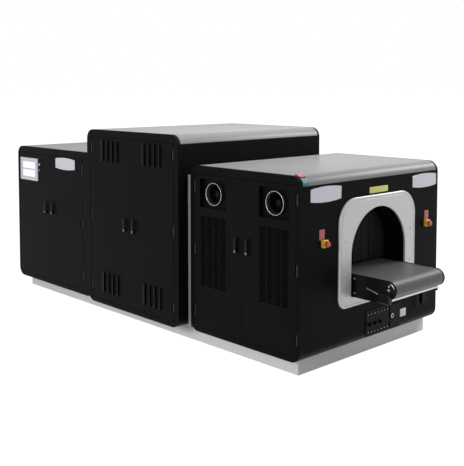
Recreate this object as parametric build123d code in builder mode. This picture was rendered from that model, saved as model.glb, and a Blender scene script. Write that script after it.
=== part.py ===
from build123d import *
from dataclasses import dataclass
from math import cos, hypot, radians, sin
import os

# Baggage CT scanner: three cabinets on plinths with one belt running through a tunnel.
# X runs along the machine towards the entry end, -Y is the door side, Z is up.
# The origin is on the floor below the middle of the three cabinets.

os.makedirs("parts", exist_ok=True)

# Cabinets
BASE_HEIGHT = 155
CABINET_WIDTH = 2000
CORNER_R = 100
SHEET = 3
COVER_SKIRT = 85
PANEL_TUCK = 130
ENTRY_LENGTH = 1360
CENTRE_LENGTH = 1500
EXIT_LENGTH = 1560
ENTRY_TOP = 1700
CENTRE_TOP = 1975
EXIT_TOP = 1715
CENTRE_SHIFT = 90
EXIT_SHIFT = 30
ENTRY_JOINT = 68
EXIT_JOINT = 20
TOTAL_LENGTH = ENTRY_LENGTH + ENTRY_JOINT + CENTRE_LENGTH + EXIT_JOINT + EXIT_LENGTH
FRONT_X = TOTAL_LENGTH / 2

# Clearances: sliding or turning fits, and faces that only pass each other
RUNNING_FIT = 0.05
FIT = 0.3

# Frames behind the panels
RING_DEPTH = 30
TUBE = 60
TUBE_WALL = 4
POST_BOTTOM = BASE_HEIGHT + 50
POST_TOP_DROP = 50
FOOT_MARGIN = 5

# Plinths
PLINTH_SETBACK = 134
PLINTH_BACK_INSET = 10
PLINTH_BAR = 70
PLINTH_WALL = 5

# Joining frames between the cabinets
JOINT_BAR = 68
JOINT_TOP_DROP = 95
JOINT_BOTTOM = BASE_HEIGHT + 15
JOINT_RECESS = 60

# Doors and hinges, with the margins left and right of each pair of doors
ENTRY_MARGINS = (36, 24)
CENTRE_MARGINS = (53, 67)
EXIT_MARGINS = (28, 172)
DOOR_THICKNESS = 24
DOOR_TOP_DROP = 75
DOOR_BOTTOM = BASE_HEIGHT + 45
DOOR_GAP = 4
HINGE_GAP = 6
PIVOT_INSET = DOOR_THICKNESS / 2
HINGE_LOW = 345
HINGE_TOP_DROP = 195
HINGE_HEIGHT = 100
HINGE_PLAY = 1
HINGE_NOTCH = 26
KNUCKLE_R = 9
PIN_R = 4
BEARING_HEIGHT = 20

# Handle levers
HANDLE_FROM_SEAM = 70
HANDLE_Z = 985
HANDLE_ARM = 112
HANDLE_WIDTH = 20
HANDLE_HUB_R = 15
SPINDLE_R = 8
ESCUTCHEON = 4
ESCUTCHEON_MARGIN = 3
LEVER_RISE = 24
LEVER_ROUND = 3
ARM_THICKNESS = 11
CAM_LENGTH = 50
CAM_THICKNESS = 4
BARREL_R = 9
BARREL_RISE = 3

# Fan recesses and grilles of the entry doors
VENT_FROM_HINGE = 272
RECESS_SIZE = (350, 262)
RECESS_DEPTH = 50
FAN_TOP_DROP = 247
GRILLE_SIZE = (345, 650)
GRILLE_Z = 921
GRILLE_COLUMNS = 4
GRILLE_ROWS = 36
GRILLE_RIB = 13
SLOT_HEIGHT = 9.5

# Louvres of the centre doors
LOUVRE_HEIGHT = 214
LOUVRE_WIDTH = 56
LOUVRE_PITCH = 82
LOUVRE_RISE = 14
LOUVRE_WALL = 2.5
LOUVRE_COUNT = 4
LOUVRE_TOP_DROP = 214
LOUVRE_LOW_Z = 392

# Fans
FAN_RING_R = 103
FAN_BORE_R = 84
FAN_TUBE_R = 88
FAN_DEPTH = 112
FAN_ROUND = 4
RING_LIP = 10
SPIDER_DEPTH = 8
SPIDER_ARM = 12
CUP_R = 30
CUP_DEPTH = 32
SHAFT_R = 4
SHAFT_INSET = 6
HUB_R = 28
HUB_DEPTH = 24
HUB_GAP = 1
BLADE_TIP_R = 79
BLADE_COUNT = 7
BLADE_THICKNESS = 2.5
BLADE_ANGLE = 38
ROOT = 3

# Tunnel and bezels
TUNNEL_Y = 40
TUNNEL_HALF = 400
TUNNEL_SILL = 600
TUNNEL_SPRING = 958
TUNNEL_CORNER_R = 25
LINER_WALL = 4
BEZEL_HALF = TUNNEL_HALF + 158
BEZEL_BOTTOM = TUNNEL_SILL - 86
BEZEL_TOP = TUNNEL_SPRING + TUNNEL_HALF + 107
BEZEL_DEPTH = 18
BEZEL_TOP_R = 220
BEZEL_BOTTOM_R = 90
BEZEL_WALL = 6
BEZEL_EDGE_R = 11
GROOVE_INSET = 23
GROOVE_WIDTH = 7
GROOVE_DEPTH = 3

# Belt conveyor
BELT_TOP = TUNNEL_SILL + 200
BELT_R = 74
BELT_THICKNESS = 3
BELT_HALF = TUNNEL_HALF - 45
NOSE_REACH = 460
ROLLER_X = FRONT_X + NOSE_REACH - BELT_R
ROLLER_Z = BELT_TOP - BELT_R
ROLLER_R = BELT_R - BELT_THICKNESS - FIT
ROLLER_HALF = BELT_HALF - 5
DRUM_WALL = 8
AXLE_R = 12
AXLE_END = 5
RAIL_NOSE_R = BELT_R + 4
RAIL_INNER = BELT_HALF + 2
RAIL_WALL = 8
BED_HALF = BELT_HALF - 10
BED_DEPTH = 60
BED_WALL = 4
ROD_R = 14
ROD_COUNT = 7
TRAY_REACH = NOSE_REACH - 60
TRAY_RISE = 28
TRAY_THICKNESS = 6
TRAY_LIP = 18
RAIL_END = FRONT_X + TRAY_REACH - TRAY_THICKNESS

# Belt drive beside the nose
DRIVE_X = ROLLER_X - 28
DRIVE_SIZE = (120, 46, 78)
DRIVE_Z = ROLLER_Z - 74
DRIVE_CHAMFER = 8
DRIVE_CAP = (28, 8)
TORQUE_ARM = (150, 14, 10)
TORQUE_ARM_SHIFT = (-130, 38)
TORQUE_ARM_ANGLE = 15

# Gantry
GANTRY_X = 20
GANTRY_PLATE = 40
ROTOR_BORE_R = hypot(TUNNEL_HALF, TUNNEL_SPRING - TUNNEL_SILL) + 24
ROTOR_R = ROTOR_BORE_R + 170
RACE_R = ROTOR_BORE_R + 40
RACE_WALL = 28
SLEEVE_LENGTH = 104
ROTOR_GAP = 10
STAND_HALF = ROTOR_R + 25
STAND_TOP = 1740
STAND_CORNER_R = 400
STAND_FOOT = (340, 200, 34)

# X-ray tube and detector
XRAY_R = 70
XRAY_LENGTH = 290
XRAY_SEAT = (145, 112)
XRAY_PORT = (28, 6)
DETECTOR_ANGLE = 100
DETECTOR_MARGIN = 45
DETECTOR_RIM = 15
DETECTOR_DEPTH = 110

# Electronics rack
RACK_SIZE = (600, 480)
RACK_SHIFT = -100
RACK_SETBACK = 20
RACK_HEIGHT = 1322
RACK_WALL = 4
RACK_FRONT = 12
RACK_UNITS = 6
RACK_GROOVE = 4
RACK_HANDLE = (300, 8, 16)

# Emergency stops
STOP_FROM_SIDES = (288, 200)
STOP_Z = 1118
STOP_BOX = 62
STOP_BOX_DEPTH = 32
STOP_BOX_CHAMFER = 3
STOP_FLOOR = 8
STOP_STEM_R = 11
STOP_STEM_LENGTH = 14
STOP_HEAD_R = 24
STOP_HEAD_HEIGHT = 24
STOP_HEAD_ROUND = 8
STOP_TRAVEL = 5
STOP_GAP = 1

# Operator display and the push buttons beside it
DISPLAY_FROM_END = 276
DISPLAY_TOP_DROP = 263
DISPLAY_SIZE = (386, 263)
DISPLAY_CORNER_R = 10
DISPLAY_ROUND = 4
DISPLAY_RISE = 16
DISPLAY_RIM = 30
DISPLAY_POCKET = 4
SCREEN_SIZE = (256, 72)
SCREEN_SHIFT = 47
SCREEN_THICKNESS = 3
PAD_PITCH = 40
PAD_SIZE = (16, 8)
PAD_COUNT = 5
KEY_SHIFT = 227
KEY_RISES = (64, -1)
KEY_R = 12
KEY_HEIGHT = 7
KEY_ROUND = 2
KEY_STEM_R = 6
KEY_STEM_END = 8
KEY_TRAVEL = 3

# Status lamps
LAMP_RISE = 13
LAMP_WIDTH = 72
LAMP_ROUND = 5
LAMP_ARCS = {"red_status_lamp": (52, 84), "blue_status_lamp": (16, 49)}

# Bare name plates
PLATE_LENGTH = 394
PLATE_END = 104
PLATE_BOW = 15
PLATE_THICKNESS = 3
FRONT_PLATE_FROM_SIDES = (318, 232)
FRONT_PLATE_DROP = 170
DOOR_PLATE_SHIFT = 339
DOOR_PLATE_DROP = 153

# Service panel under the nose
PANEL_Y = 42
PANEL_Z = 316
PANEL_SIZE = (340, 232)
PANEL_THICKNESS = 6
SOCKET_R = 7
SOCKET_RISE = 5
SOCKET_SHIFTS = (-80, 80)
SOCKET_PITCH = 48
SOCKET_COUNT = 7
PLUG_SHIFTS = (-108, -32, 44)
PLUG_DROP = 16
PLUG_R = 17
PLUG_LENGTH = 22
PLUG_ROUND = 3
PORT_PLATE_SHIFT = (263, -7)
PORT_PLATE_SIZE = (150, 220)
PORT_SHIFT = (211, 7)
PORT_R = (19, 13)
PORT_RISE = 12
BOX_SHIFT = (740, 78)
BOX_SIZE = (93, 104)
BOX_DEPTH = 18


@dataclass
class Cabinet:
    name: str
    x0: float
    length: float
    door_y: float
    top: float
    margins: tuple

    def __post_init__(self):
        self.x1 = self.x0 + self.length
        self.x_mid = self.x0 + self.length / 2
        self.z_mid = (self.top + BASE_HEIGHT) / 2
        self.back_y = self.door_y + CABINET_WIDTH
        self.y_mid = self.door_y + CABINET_WIDTH / 2
        self.opening = (self.x0 + self.margins[0], self.x1 - self.margins[1])
        self.seam_x = sum(self.opening) / 2
        self.door_width = (self.opening[1] - self.opening[0]) / 2
        self.door_top = self.top - DOOR_TOP_DROP
        self.opening_z = (self.door_top + DOOR_BOTTOM) / 2
        self.hinge_heights = (
            HINGE_LOW,
            (HINGE_LOW + self.top - HINGE_TOP_DROP) / 2,
            self.top - HINGE_TOP_DROP,
        )

    # Signed direction from the hinge into the door, and the hinge pin's X
    def hinge(self, side):
        inward = 1 if side == "left" else -1
        edge = self.opening[0] if side == "left" else self.opening[1]
        return inward, edge + inward * (HINGE_GAP + PIVOT_INSET)

    # Middle of the post behind the hinges
    def post_x(self, side):
        inward, pivot_x = self.hinge(side)
        return pivot_x + inward * (TUBE / 2 - SHEET - HINGE_GAP - PIVOT_INSET)

    # Middle of the fan and grille in a door
    def vent_x(self, side):
        inward, pivot_x = self.hinge(side)
        return pivot_x + inward * (VENT_FROM_HINGE - HINGE_GAP - PIVOT_INSET)


DOOR_Y = -CABINET_WIDTH / 2
CENTRE_X0 = FRONT_X - ENTRY_LENGTH - ENTRY_JOINT - CENTRE_LENGTH
ENTRY = Cabinet("entry", FRONT_X - ENTRY_LENGTH, ENTRY_LENGTH, DOOR_Y, ENTRY_TOP, ENTRY_MARGINS)
CENTRE = Cabinet("centre", CENTRE_X0, CENTRE_LENGTH, DOOR_Y - CENTRE_SHIFT, CENTRE_TOP, CENTRE_MARGINS)
EXIT = Cabinet("exit", -FRONT_X, EXIT_LENGTH, DOOR_Y - EXIT_SHIFT, EXIT_TOP, EXIT_MARGINS)
CABINETS = (ENTRY, CENTRE, EXIT)
SIDES = ("left", "right")
fan_z = ENTRY.top - FAN_TOP_DROP


def save(piece, label):
    piece.part.label = label
    export_step(piece.part, f"parts/{label}.step")


# Plane facing the door side at a given Y, and a plane across the machine at a given X
def side_plane(y):
    return Plane.XZ.offset(-y)


def end_plane(x):
    return Plane.YZ.offset(x)


# Local frame with X along the machine, Y up and Z out of the door side
def side_frame(x, y, z):
    return Plane(origin=(x, y, z), x_dir=(1, 0, 0), z_dir=(0, -1, 0))


# Rounded cabinet profile, drawn into the open sketch
def cabinet_outline(cabinet, inset, mode=Mode.ADD):
    with Locations((cabinet.x_mid, cabinet.z_mid)):
        RectangleRounded(
            cabinet.length - 2 * inset,
            cabinet.top - BASE_HEIGHT - 2 * inset,
            CORNER_R - inset,
            mode=mode,
        )


# Door opening of a cabinet's side, drawn into the open sketch
def opening_outline(cabinet, grow, mode):
    with Locations((cabinet.seam_x, cabinet.opening_z)):
        Rectangle(
            2 * cabinet.door_width + 2 * grow,
            cabinet.door_top - DOOR_BOTTOM + 2 * grow,
            mode=mode,
        )


# Arched tunnel profile, drawn into the open sketch
def tunnel_outline(grow, mode=Mode.ADD):
    half = TUNNEL_HALF + grow
    bottom = TUNNEL_SILL - grow
    left = (TUNNEL_Y - half, TUNNEL_SPRING)
    right = (TUNNEL_Y + half, TUNNEL_SPRING)
    with BuildLine() as arch:
        ThreePointArc(left, (TUNNEL_Y, TUNNEL_SPRING + half), right)
        FilletPolyline(right, (right[0], bottom), (left[0], bottom), left, radius=TUNNEL_CORNER_R + grow)
    make_face(arch.edges(), mode=mode)


# Closed square tubes from their middle points and outer sizes, added to the open part
def add_tubes(bars, wall):
    for middle, size in bars:
        with Locations(middle):
            Box(*size)
    for middle, size in bars:
        with Locations(middle):
            Box(*(edge - 2 * wall for edge in size), mode=Mode.SUBTRACT)


# Box given by its lowest and highest corner, added to the open part
def corner_box(low, high, mode=Mode.ADD):
    with Locations(tuple((a + b) / 2 for a, b in zip(low, high))):
        Box(*(b - a for a, b in zip(low, high)), mode=mode)


# End of a ray from the middle at an angle in degrees
def ray_end(length, angle):
    return length * cos(radians(angle)), length * sin(radians(angle))


# Plinths
def plinth(cabinet, x0, x1, cross_xs):
    y0 = ENTRY.door_y + PLINTH_SETBACK
    y1 = cabinet.back_y - PLINTH_BACK_INSET
    middle_z = BASE_HEIGHT / 2
    bars = []
    for y in (y0 + PLINTH_BAR / 2, y1 - PLINTH_BAR / 2):
        bars.append((((x0 + x1) / 2, y, middle_z), (x1 - x0, PLINTH_BAR, BASE_HEIGHT)))
    for x in (x0 + PLINTH_BAR / 2, *cross_xs, x1 - PLINTH_BAR / 2):
        bars.append(((x, (y0 + y1) / 2, middle_z), (PLINTH_BAR, y1 - y0 - 2 * PLINTH_BAR, BASE_HEIGHT)))
    with BuildPart() as base:
        add_tubes(bars, PLINTH_WALL)
    save(base, f"{cabinet.name}_plinth")


entry_joint_x = ENTRY.x0 - ENTRY_JOINT / 2
exit_joint_x = CENTRE.x0 - EXIT_JOINT / 2
plinth(ENTRY, entry_joint_x, ENTRY.x1 - PLINTH_SETBACK, [ENTRY.x_mid])
plinth(CENTRE, exit_joint_x, entry_joint_x, [0])
plinth(EXIT, EXIT.x0, exit_joint_x, [EXIT.x_mid])


# Welded frame: two hollow door rims, posts, rails, feet and a floor sheet
def frame(cabinet):
    post_xs = [cabinet.post_x(side) for side in SIDES]
    post_ys = [cabinet.door_y + RING_DEPTH + TUBE / 2, cabinet.back_y - RING_DEPTH - TUBE / 2]
    post_top = cabinet.top - POST_TOP_DROP
    rail_zs = [POST_BOTTOM + TUBE / 2, post_top - TUBE / 2]
    bars = []
    for x in post_xs:
        for y in post_ys:
            bars.append(((x, y, (POST_BOTTOM + post_top) / 2), (TUBE, TUBE, post_top - POST_BOTTOM)))
    for z in rail_zs:
        for y in post_ys:
            bars.append(((sum(post_xs) / 2, y, z), (post_xs[1] - post_xs[0] - TUBE, TUBE, TUBE)))
        for x in post_xs:
            bars.append(((x, sum(post_ys) / 2, z), (TUBE, post_ys[1] - post_ys[0] - TUBE, TUBE)))
    with BuildPart() as welded:
        add_tubes(bars, TUBE_WALL)
        for y, inward in ((cabinet.door_y, -1), (cabinet.back_y, 1)):
            with BuildSketch(side_plane(y)):
                cabinet_outline(cabinet, 0)
                opening_outline(cabinet, 0, Mode.SUBTRACT)
            extrude(amount=inward * RING_DEPTH)
            with BuildSketch(side_plane(y - inward * SHEET)):
                cabinet_outline(cabinet, SHEET)
                opening_outline(cabinet, SHEET, Mode.SUBTRACT)
            extrude(amount=inward * (RING_DEPTH - SHEET), mode=Mode.SUBTRACT)
        foot_inset = PANEL_TUCK + TUBE / 2 + FOOT_MARGIN
        for x in (cabinet.x0 + foot_inset, cabinet.x1 - foot_inset):
            for y in post_ys:
                with Locations((x, y, (BASE_HEIGHT + POST_BOTTOM) / 2)):
                    Box(TUBE, TUBE, POST_BOTTOM - BASE_HEIGHT)
        corner_box(
            (cabinet.x0 + PANEL_TUCK, cabinet.door_y + SHEET, BASE_HEIGHT),
            (cabinet.x1 - PANEL_TUCK, cabinet.back_y - SHEET, BASE_HEIGHT + SHEET),
        )
    save(welded, f"{cabinet.name}_frame")


# Silver top cover between the rims, rolled over both upper corners
def top_cover(cabinet):
    with BuildPart() as cover:
        with BuildSketch(side_plane(cabinet.back_y - RING_DEPTH)):
            cabinet_outline(cabinet, 0)
            cabinet_outline(cabinet, SHEET, Mode.SUBTRACT)
        extrude(amount=CABINET_WIDTH - 2 * RING_DEPTH)
        split(bisect_by=Plane.XY.offset(cabinet.top - COVER_SKIRT), keep=Keep.TOP)
    save(cover, f"{cabinet.name}_top_cover")


# Black panels of both ends, rolled under the lower corners, with the tunnel cut through
def end_panels(cabinet):
    with BuildPart() as panels:
        with BuildSketch(side_plane(cabinet.back_y - RING_DEPTH)):
            cabinet_outline(cabinet, 0)
            cabinet_outline(cabinet, SHEET, Mode.SUBTRACT)
        extrude(amount=CABINET_WIDTH - 2 * RING_DEPTH)
        split(bisect_by=Plane.XY.offset(cabinet.top - COVER_SKIRT), keep=Keep.BOTTOM)
        with Locations((cabinet.x_mid, cabinet.y_mid, BASE_HEIGHT)):
            Box(cabinet.length - 2 * PANEL_TUCK, CABINET_WIDTH, 4 * SHEET, mode=Mode.SUBTRACT)
        with BuildSketch(end_plane(cabinet.x0)):
            tunnel_outline(LINER_WALL + FIT)
        extrude(amount=cabinet.length, mode=Mode.SUBTRACT)
    save(panels, f"{cabinet.name}_end_panels")


# Fixed back panel, a tray that bears on the posts
def back_panel(cabinet):
    width = 2 * cabinet.door_width - DOOR_GAP
    height = cabinet.door_top - DOOR_BOTTOM - DOOR_GAP
    with BuildPart() as panel:
        with Locations((cabinet.seam_x, cabinet.back_y - RING_DEPTH / 2, cabinet.opening_z)):
            Box(width, RING_DEPTH, height)
        with Locations((cabinet.seam_x, cabinet.back_y - SHEET - RING_DEPTH / 2, cabinet.opening_z)):
            Box(width - 2 * SHEET, RING_DEPTH, height - 2 * SHEET, mode=Mode.SUBTRACT)
    save(panel, f"{cabinet.name}_back_panel")


for box in CABINETS:
    frame(box)
    top_cover(box)
    end_panels(box)
    back_panel(box)

# Joining frames between the cabinets
joint_top = ENTRY.top - JOINT_TOP_DROP
with BuildPart() as module_joints:
    for x0, x1, y0, y1 in (
        (CENTRE.x1, ENTRY.x0, ENTRY.door_y, CENTRE.back_y),
        (EXIT.x1, CENTRE.x0, EXIT.door_y, CENTRE.back_y),
    ):
        corner_box((x0, y0, JOINT_BOTTOM), (x1, y1, joint_top))
        corner_box(
            (x0, y0 + JOINT_BAR, JOINT_BOTTOM + JOINT_BAR),
            (x1, y1 - JOINT_BAR, joint_top - JOINT_BAR),
            Mode.SUBTRACT,
        )
    corner_box(
        (CENTRE.x1, ENTRY.door_y, JOINT_BOTTOM),
        (CENTRE.x1 + ENTRY_JOINT / 2, ENTRY.door_y + JOINT_RECESS, joint_top),
        Mode.SUBTRACT,
    )
save(module_joints, "module_joints")


# Door leaf without its features: a folded tray with hinge notches and a handle plate
def add_leaf(cabinet, side):
    inward, pivot_x = cabinet.hinge(side)
    edge_x = pivot_x - inward * PIVOT_INSET
    free_x = cabinet.seam_x - inward * DOOR_GAP / 2
    width = abs(free_x - edge_x)
    height = cabinet.door_top - DOOR_BOTTOM - 2 * DOOR_GAP
    middle_x = (edge_x + free_x) / 2
    with Locations((middle_x, cabinet.door_y + DOOR_THICKNESS / 2, cabinet.opening_z)):
        Box(width, DOOR_THICKNESS, height)
    with Locations((middle_x, cabinet.door_y + SHEET + DOOR_THICKNESS / 2, cabinet.opening_z)):
        Box(width - 2 * SHEET, DOOR_THICKNESS, height - 2 * SHEET, mode=Mode.SUBTRACT)
    pivot_y = cabinet.door_y + PIVOT_INSET
    notch_x = edge_x + inward * HINGE_NOTCH / 2
    block = HINGE_NOTCH + SHEET
    for z in cabinet.hinge_heights:
        with Locations((edge_x + inward * block / 2, pivot_y, z)):
            Box(block, DOOR_THICKNESS, HINGE_HEIGHT + 2 * BEARING_HEIGHT)
        with Locations((notch_x, pivot_y, z)):
            Box(HINGE_NOTCH, DOOR_THICKNESS, HINGE_HEIGHT, mode=Mode.SUBTRACT)
        with Locations((pivot_x, pivot_y, z)):
            Cylinder(PIN_R + RUNNING_FIT, HINGE_HEIGHT + 2 * BEARING_HEIGHT, mode=Mode.SUBTRACT)


# Plate and bore for the handle
def add_handle_seat(cabinet, side):
    inward = cabinet.hinge(side)[0]
    x = cabinet.seam_x - inward * HANDLE_FROM_SEAM
    plate_z = HANDLE_Z + HANDLE_ARM / 2
    with Locations((x, cabinet.door_y - ESCUTCHEON / 2, plate_z)):
        Box(2 * (HANDLE_HUB_R + ESCUTCHEON_MARGIN), ESCUTCHEON, HANDLE_ARM + 3 * HANDLE_HUB_R)
    with Locations(side_frame(x, cabinet.door_y, HANDLE_Z)):
        Cylinder(SPINDLE_R + RUNNING_FIT, 2 * DOOR_THICKNESS, mode=Mode.SUBTRACT)


# Square recess for the fan, with a round hole in its back
def add_fan_recess(x, face_y):
    width, height = RECESS_SIZE
    with Locations((x, face_y + RECESS_DEPTH / 2, fan_z)):
        Box(width + 2 * SHEET, RECESS_DEPTH, height + 2 * SHEET)
    with Locations((x, face_y + RECESS_DEPTH / 2 - SHEET, fan_z)):
        Box(width, RECESS_DEPTH, height, mode=Mode.SUBTRACT)
    with Locations(side_frame(x, face_y + RECESS_DEPTH, fan_z)):
        Cylinder(FAN_TUBE_R + FIT, 4 * SHEET, mode=Mode.SUBTRACT)


# Rows of horizontal slots
def add_grille(x, face_y):
    pitch_x = GRILLE_SIZE[0] / GRILLE_COLUMNS
    pitch_z = GRILLE_SIZE[1] / GRILLE_ROWS
    with Locations(side_frame(x, face_y, GRILLE_Z)):
        with GridLocations(pitch_x, pitch_z, GRILLE_COLUMNS, GRILLE_ROWS):
            Box(pitch_x - GRILLE_RIB, SLOT_HEIGHT, 4 * SHEET, mode=Mode.SUBTRACT)


# Middle of a push button beside the display
def key_place(rise):
    return EXIT.x0 + DISPLAY_FROM_END + KEY_SHIFT, EXIT.top - DISPLAY_TOP_DROP + rise


for side in SIDES:
    with BuildPart() as entry_door:
        add_leaf(ENTRY, side)
        add_fan_recess(ENTRY.vent_x(side), ENTRY.door_y)
        add_grille(ENTRY.vent_x(side), ENTRY.door_y)
        add_handle_seat(ENTRY, side)
    save(entry_door, f"entry_{side}_door")

    # Centre door: wedge louvres, each open along its raised edge
    with BuildPart() as centre_door:
        add_leaf(CENTRE, side)
        door_x = CENTRE.seam_x - CENTRE.hinge(side)[0] * CENTRE.door_width / 2
        for low_z in (LOUVRE_LOW_Z - LOUVRE_HEIGHT / 2, CENTRE.top - LOUVRE_TOP_DROP - LOUVRE_HEIGHT / 2):
            first_x = door_x - LOUVRE_PITCH * (LOUVRE_COUNT - 1) / 2 - LOUVRE_WIDTH / 2
            starts = [(first_x + k * LOUVRE_PITCH, CENTRE.door_y) for k in range(LOUVRE_COUNT)]
            with BuildSketch(Plane.XY.offset(low_z)):
                with Locations(starts):
                    Polygon((0, 0), (LOUVRE_WIDTH, 0), (LOUVRE_WIDTH, -LOUVRE_RISE), align=None)
            extrude(amount=LOUVRE_HEIGHT)
            with BuildSketch(Plane.XY.offset(low_z + LOUVRE_WALL)):
                with Locations(starts):
                    Polygon(
                        (3 * LOUVRE_WALL, SHEET),
                        (3 * LOUVRE_WALL, LOUVRE_WALL - LOUVRE_RISE * 3 * LOUVRE_WALL / LOUVRE_WIDTH),
                        (LOUVRE_WIDTH, LOUVRE_WALL - LOUVRE_RISE),
                        (LOUVRE_WIDTH, 0),
                        (LOUVRE_WIDTH - LOUVRE_WALL, SHEET),
                        align=None,
                    )
            extrude(amount=LOUVRE_HEIGHT - 2 * LOUVRE_WALL, mode=Mode.SUBTRACT)
        add_handle_seat(CENTRE, side)
    save(centre_door, f"centre_{side}_door")

    # Exit door: plain, but the one with the display has bores for its push buttons
    with BuildPart() as exit_door:
        add_leaf(EXIT, side)
        add_handle_seat(EXIT, side)
        if side == "left":
            for rise in KEY_RISES:
                key_x, key_z = key_place(rise)
                with Locations(side_frame(key_x, EXIT.door_y, key_z)):
                    Cylinder(KEY_STEM_R + RUNNING_FIT, 4 * SHEET, mode=Mode.SUBTRACT)
    save(exit_door, f"exit_{side}_door")


# Turning lever: hub with a lock barrel, arm, spindle through the door and a latch cam
def lever(cabinet, side):
    inward = cabinet.hinge(side)[0]
    x = cabinet.seam_x - inward * HANDLE_FROM_SEAM
    seat_y = cabinet.door_y - ESCUTCHEON - FIT
    outer_y = seat_y - LEVER_RISE
    cam_y = cabinet.door_y + DOOR_THICKNESS - CAM_THICKNESS
    with BuildPart() as handle:
        with BuildSketch(side_plane(seat_y)):
            with Locations((x, HANDLE_Z)):
                Circle(HANDLE_HUB_R)
        extrude(amount=LEVER_RISE)
        with BuildSketch(side_plane(outer_y)):
            with Locations((x, HANDLE_Z + HANDLE_ARM / 2)):
                SlotCenterToCenter(HANDLE_ARM - HANDLE_WIDTH / 2, HANDLE_WIDTH, rotation=90)
            with Locations((x, HANDLE_Z)):
                Circle(HANDLE_HUB_R)
        extrude(amount=-ARM_THICKNESS)
        fillet(handle.faces().sort_by(Axis.Y)[0].edges(), LEVER_ROUND)
        with Locations(side_frame(x, outer_y - BARREL_RISE / 2, HANDLE_Z)):
            Cylinder(BARREL_R, BARREL_RISE)
        with BuildSketch(side_plane(seat_y)):
            with Locations((x, HANDLE_Z)):
                Circle(SPINDLE_R)
        extrude(amount=seat_y - cam_y)
        with Locations((x, cam_y + CAM_THICKNESS / 2, HANDLE_Z - CAM_LENGTH / 2 + SPINDLE_R)):
            Box(2 * SPINDLE_R, CAM_THICKNESS, CAM_LENGTH)
    save(handle, f"{cabinet.name}_{side}_lever")


for box in CABINETS:
    for side in SIDES:
        lever(box, side)

# Fixed hinge halves: a knuckle and its pin on an arm from the post
with BuildPart() as hinge_pins:
    knuckle_height = HINGE_HEIGHT - 2 * HINGE_PLAY
    for box in CABINETS:
        for side in SIDES:
            pivot_x = box.hinge(side)[1]
            pivot_y = box.door_y + PIVOT_INSET
            arm_half = KNUCKLE_R - HINGE_PLAY
            for z in box.hinge_heights:
                with Locations((pivot_x, pivot_y, z)):
                    Cylinder(KNUCKLE_R, knuckle_height)
                    Cylinder(PIN_R, knuckle_height + 2 * BEARING_HEIGHT)
                corner_box(
                    (pivot_x - arm_half, pivot_y, z - knuckle_height / 2),
                    (pivot_x + arm_half, box.door_y + RING_DEPTH, z + knuckle_height / 2),
                )
save(hinge_pins, "hinge_pins")

# Fans behind the recesses: a ring with a tube, a three-armed spider and a bearing cup
ring_back_y = ENTRY.door_y + RECESS_DEPTH - SHEET
rear_y = ENTRY.door_y + FAN_DEPTH
hub_y = rear_y - CUP_DEPTH - HUB_GAP
for side in SIDES:
    fan_x = ENTRY.vent_x(side)
    with BuildPart() as fan:
        with BuildSketch(side_plane(ring_back_y)):
            with Locations((fan_x, fan_z)):
                Circle(FAN_RING_R)
        extrude(amount=RING_LIP)
        fillet(fan.edges().group_by(Axis.Y)[0], FAN_ROUND)
        with BuildSketch(side_plane(rear_y)):
            with Locations((fan_x, fan_z)):
                Circle(FAN_TUBE_R)
        extrude(amount=rear_y - ring_back_y)
        with Locations(side_frame(fan_x, rear_y, fan_z)):
            Cylinder(FAN_BORE_R, 3 * FAN_DEPTH, mode=Mode.SUBTRACT)
        with BuildSketch(side_plane(rear_y)):
            with Locations((fan_x, fan_z)):
                with PolarLocations((FAN_BORE_R + CUP_R) / 2, 3, start_angle=90):
                    Rectangle(FAN_BORE_R - CUP_R + 2 * ROOT, SPIDER_ARM)
        extrude(amount=SPIDER_DEPTH)
        with BuildSketch(side_plane(rear_y)):
            with Locations((fan_x, fan_z)):
                Circle(CUP_R)
                Circle(SHAFT_R + RUNNING_FIT, mode=Mode.SUBTRACT)
        extrude(amount=CUP_DEPTH)
    save(fan, f"{side}_fan")

    with BuildPart() as rotor:
        with BuildSketch(side_plane(hub_y)):
            with Locations((fan_x, fan_z)):
                Circle(HUB_R)
        extrude(amount=HUB_DEPTH)
        fillet(rotor.edges().group_by(Axis.Y)[0], FAN_ROUND)
        blade = (BLADE_TIP_R - HUB_R + 2 * ROOT, BLADE_THICKNESS, HUB_DEPTH)
        with Locations(side_frame(fan_x, hub_y - HUB_DEPTH / 2, fan_z)):
            with PolarLocations((HUB_R + BLADE_TIP_R) / 2, BLADE_COUNT):
                Box(*blade, rotation=(BLADE_ANGLE, 0, 0))
        with BuildSketch(side_plane(rear_y - SHAFT_INSET)):
            with Locations((fan_x, fan_z)):
                Circle(SHAFT_R)
        extrude(amount=rear_y - SHAFT_INSET - hub_y)
    save(rotor, f"{side}_fan_rotor")

# Tunnel liner through all three cabinets
with BuildPart() as tunnel_liner:
    with BuildSketch(end_plane(-FRONT_X)):
        tunnel_outline(LINER_WALL)
        tunnel_outline(0, Mode.SUBTRACT)
    extrude(amount=TOTAL_LENGTH)
save(tunnel_liner, "tunnel_liner")


# Bezel outline as a private sketch, set in from the outer edge, with larger corners at its top
def bezel_outline(inset):
    with BuildSketch(mode=Mode.PRIVATE) as outline:
        with Locations((TUNNEL_Y, (BEZEL_BOTTOM + BEZEL_TOP) / 2)):
            Rectangle(2 * (BEZEL_HALF - inset), BEZEL_TOP - BEZEL_BOTTOM - 2 * inset)
        fillet(outline.vertices().group_by(Axis.Y)[-1], BEZEL_TOP_R - inset)
        fillet(outline.vertices().group_by(Axis.Y)[0], BEZEL_BOTTOM_R - inset)
    return outline.sketch


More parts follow.
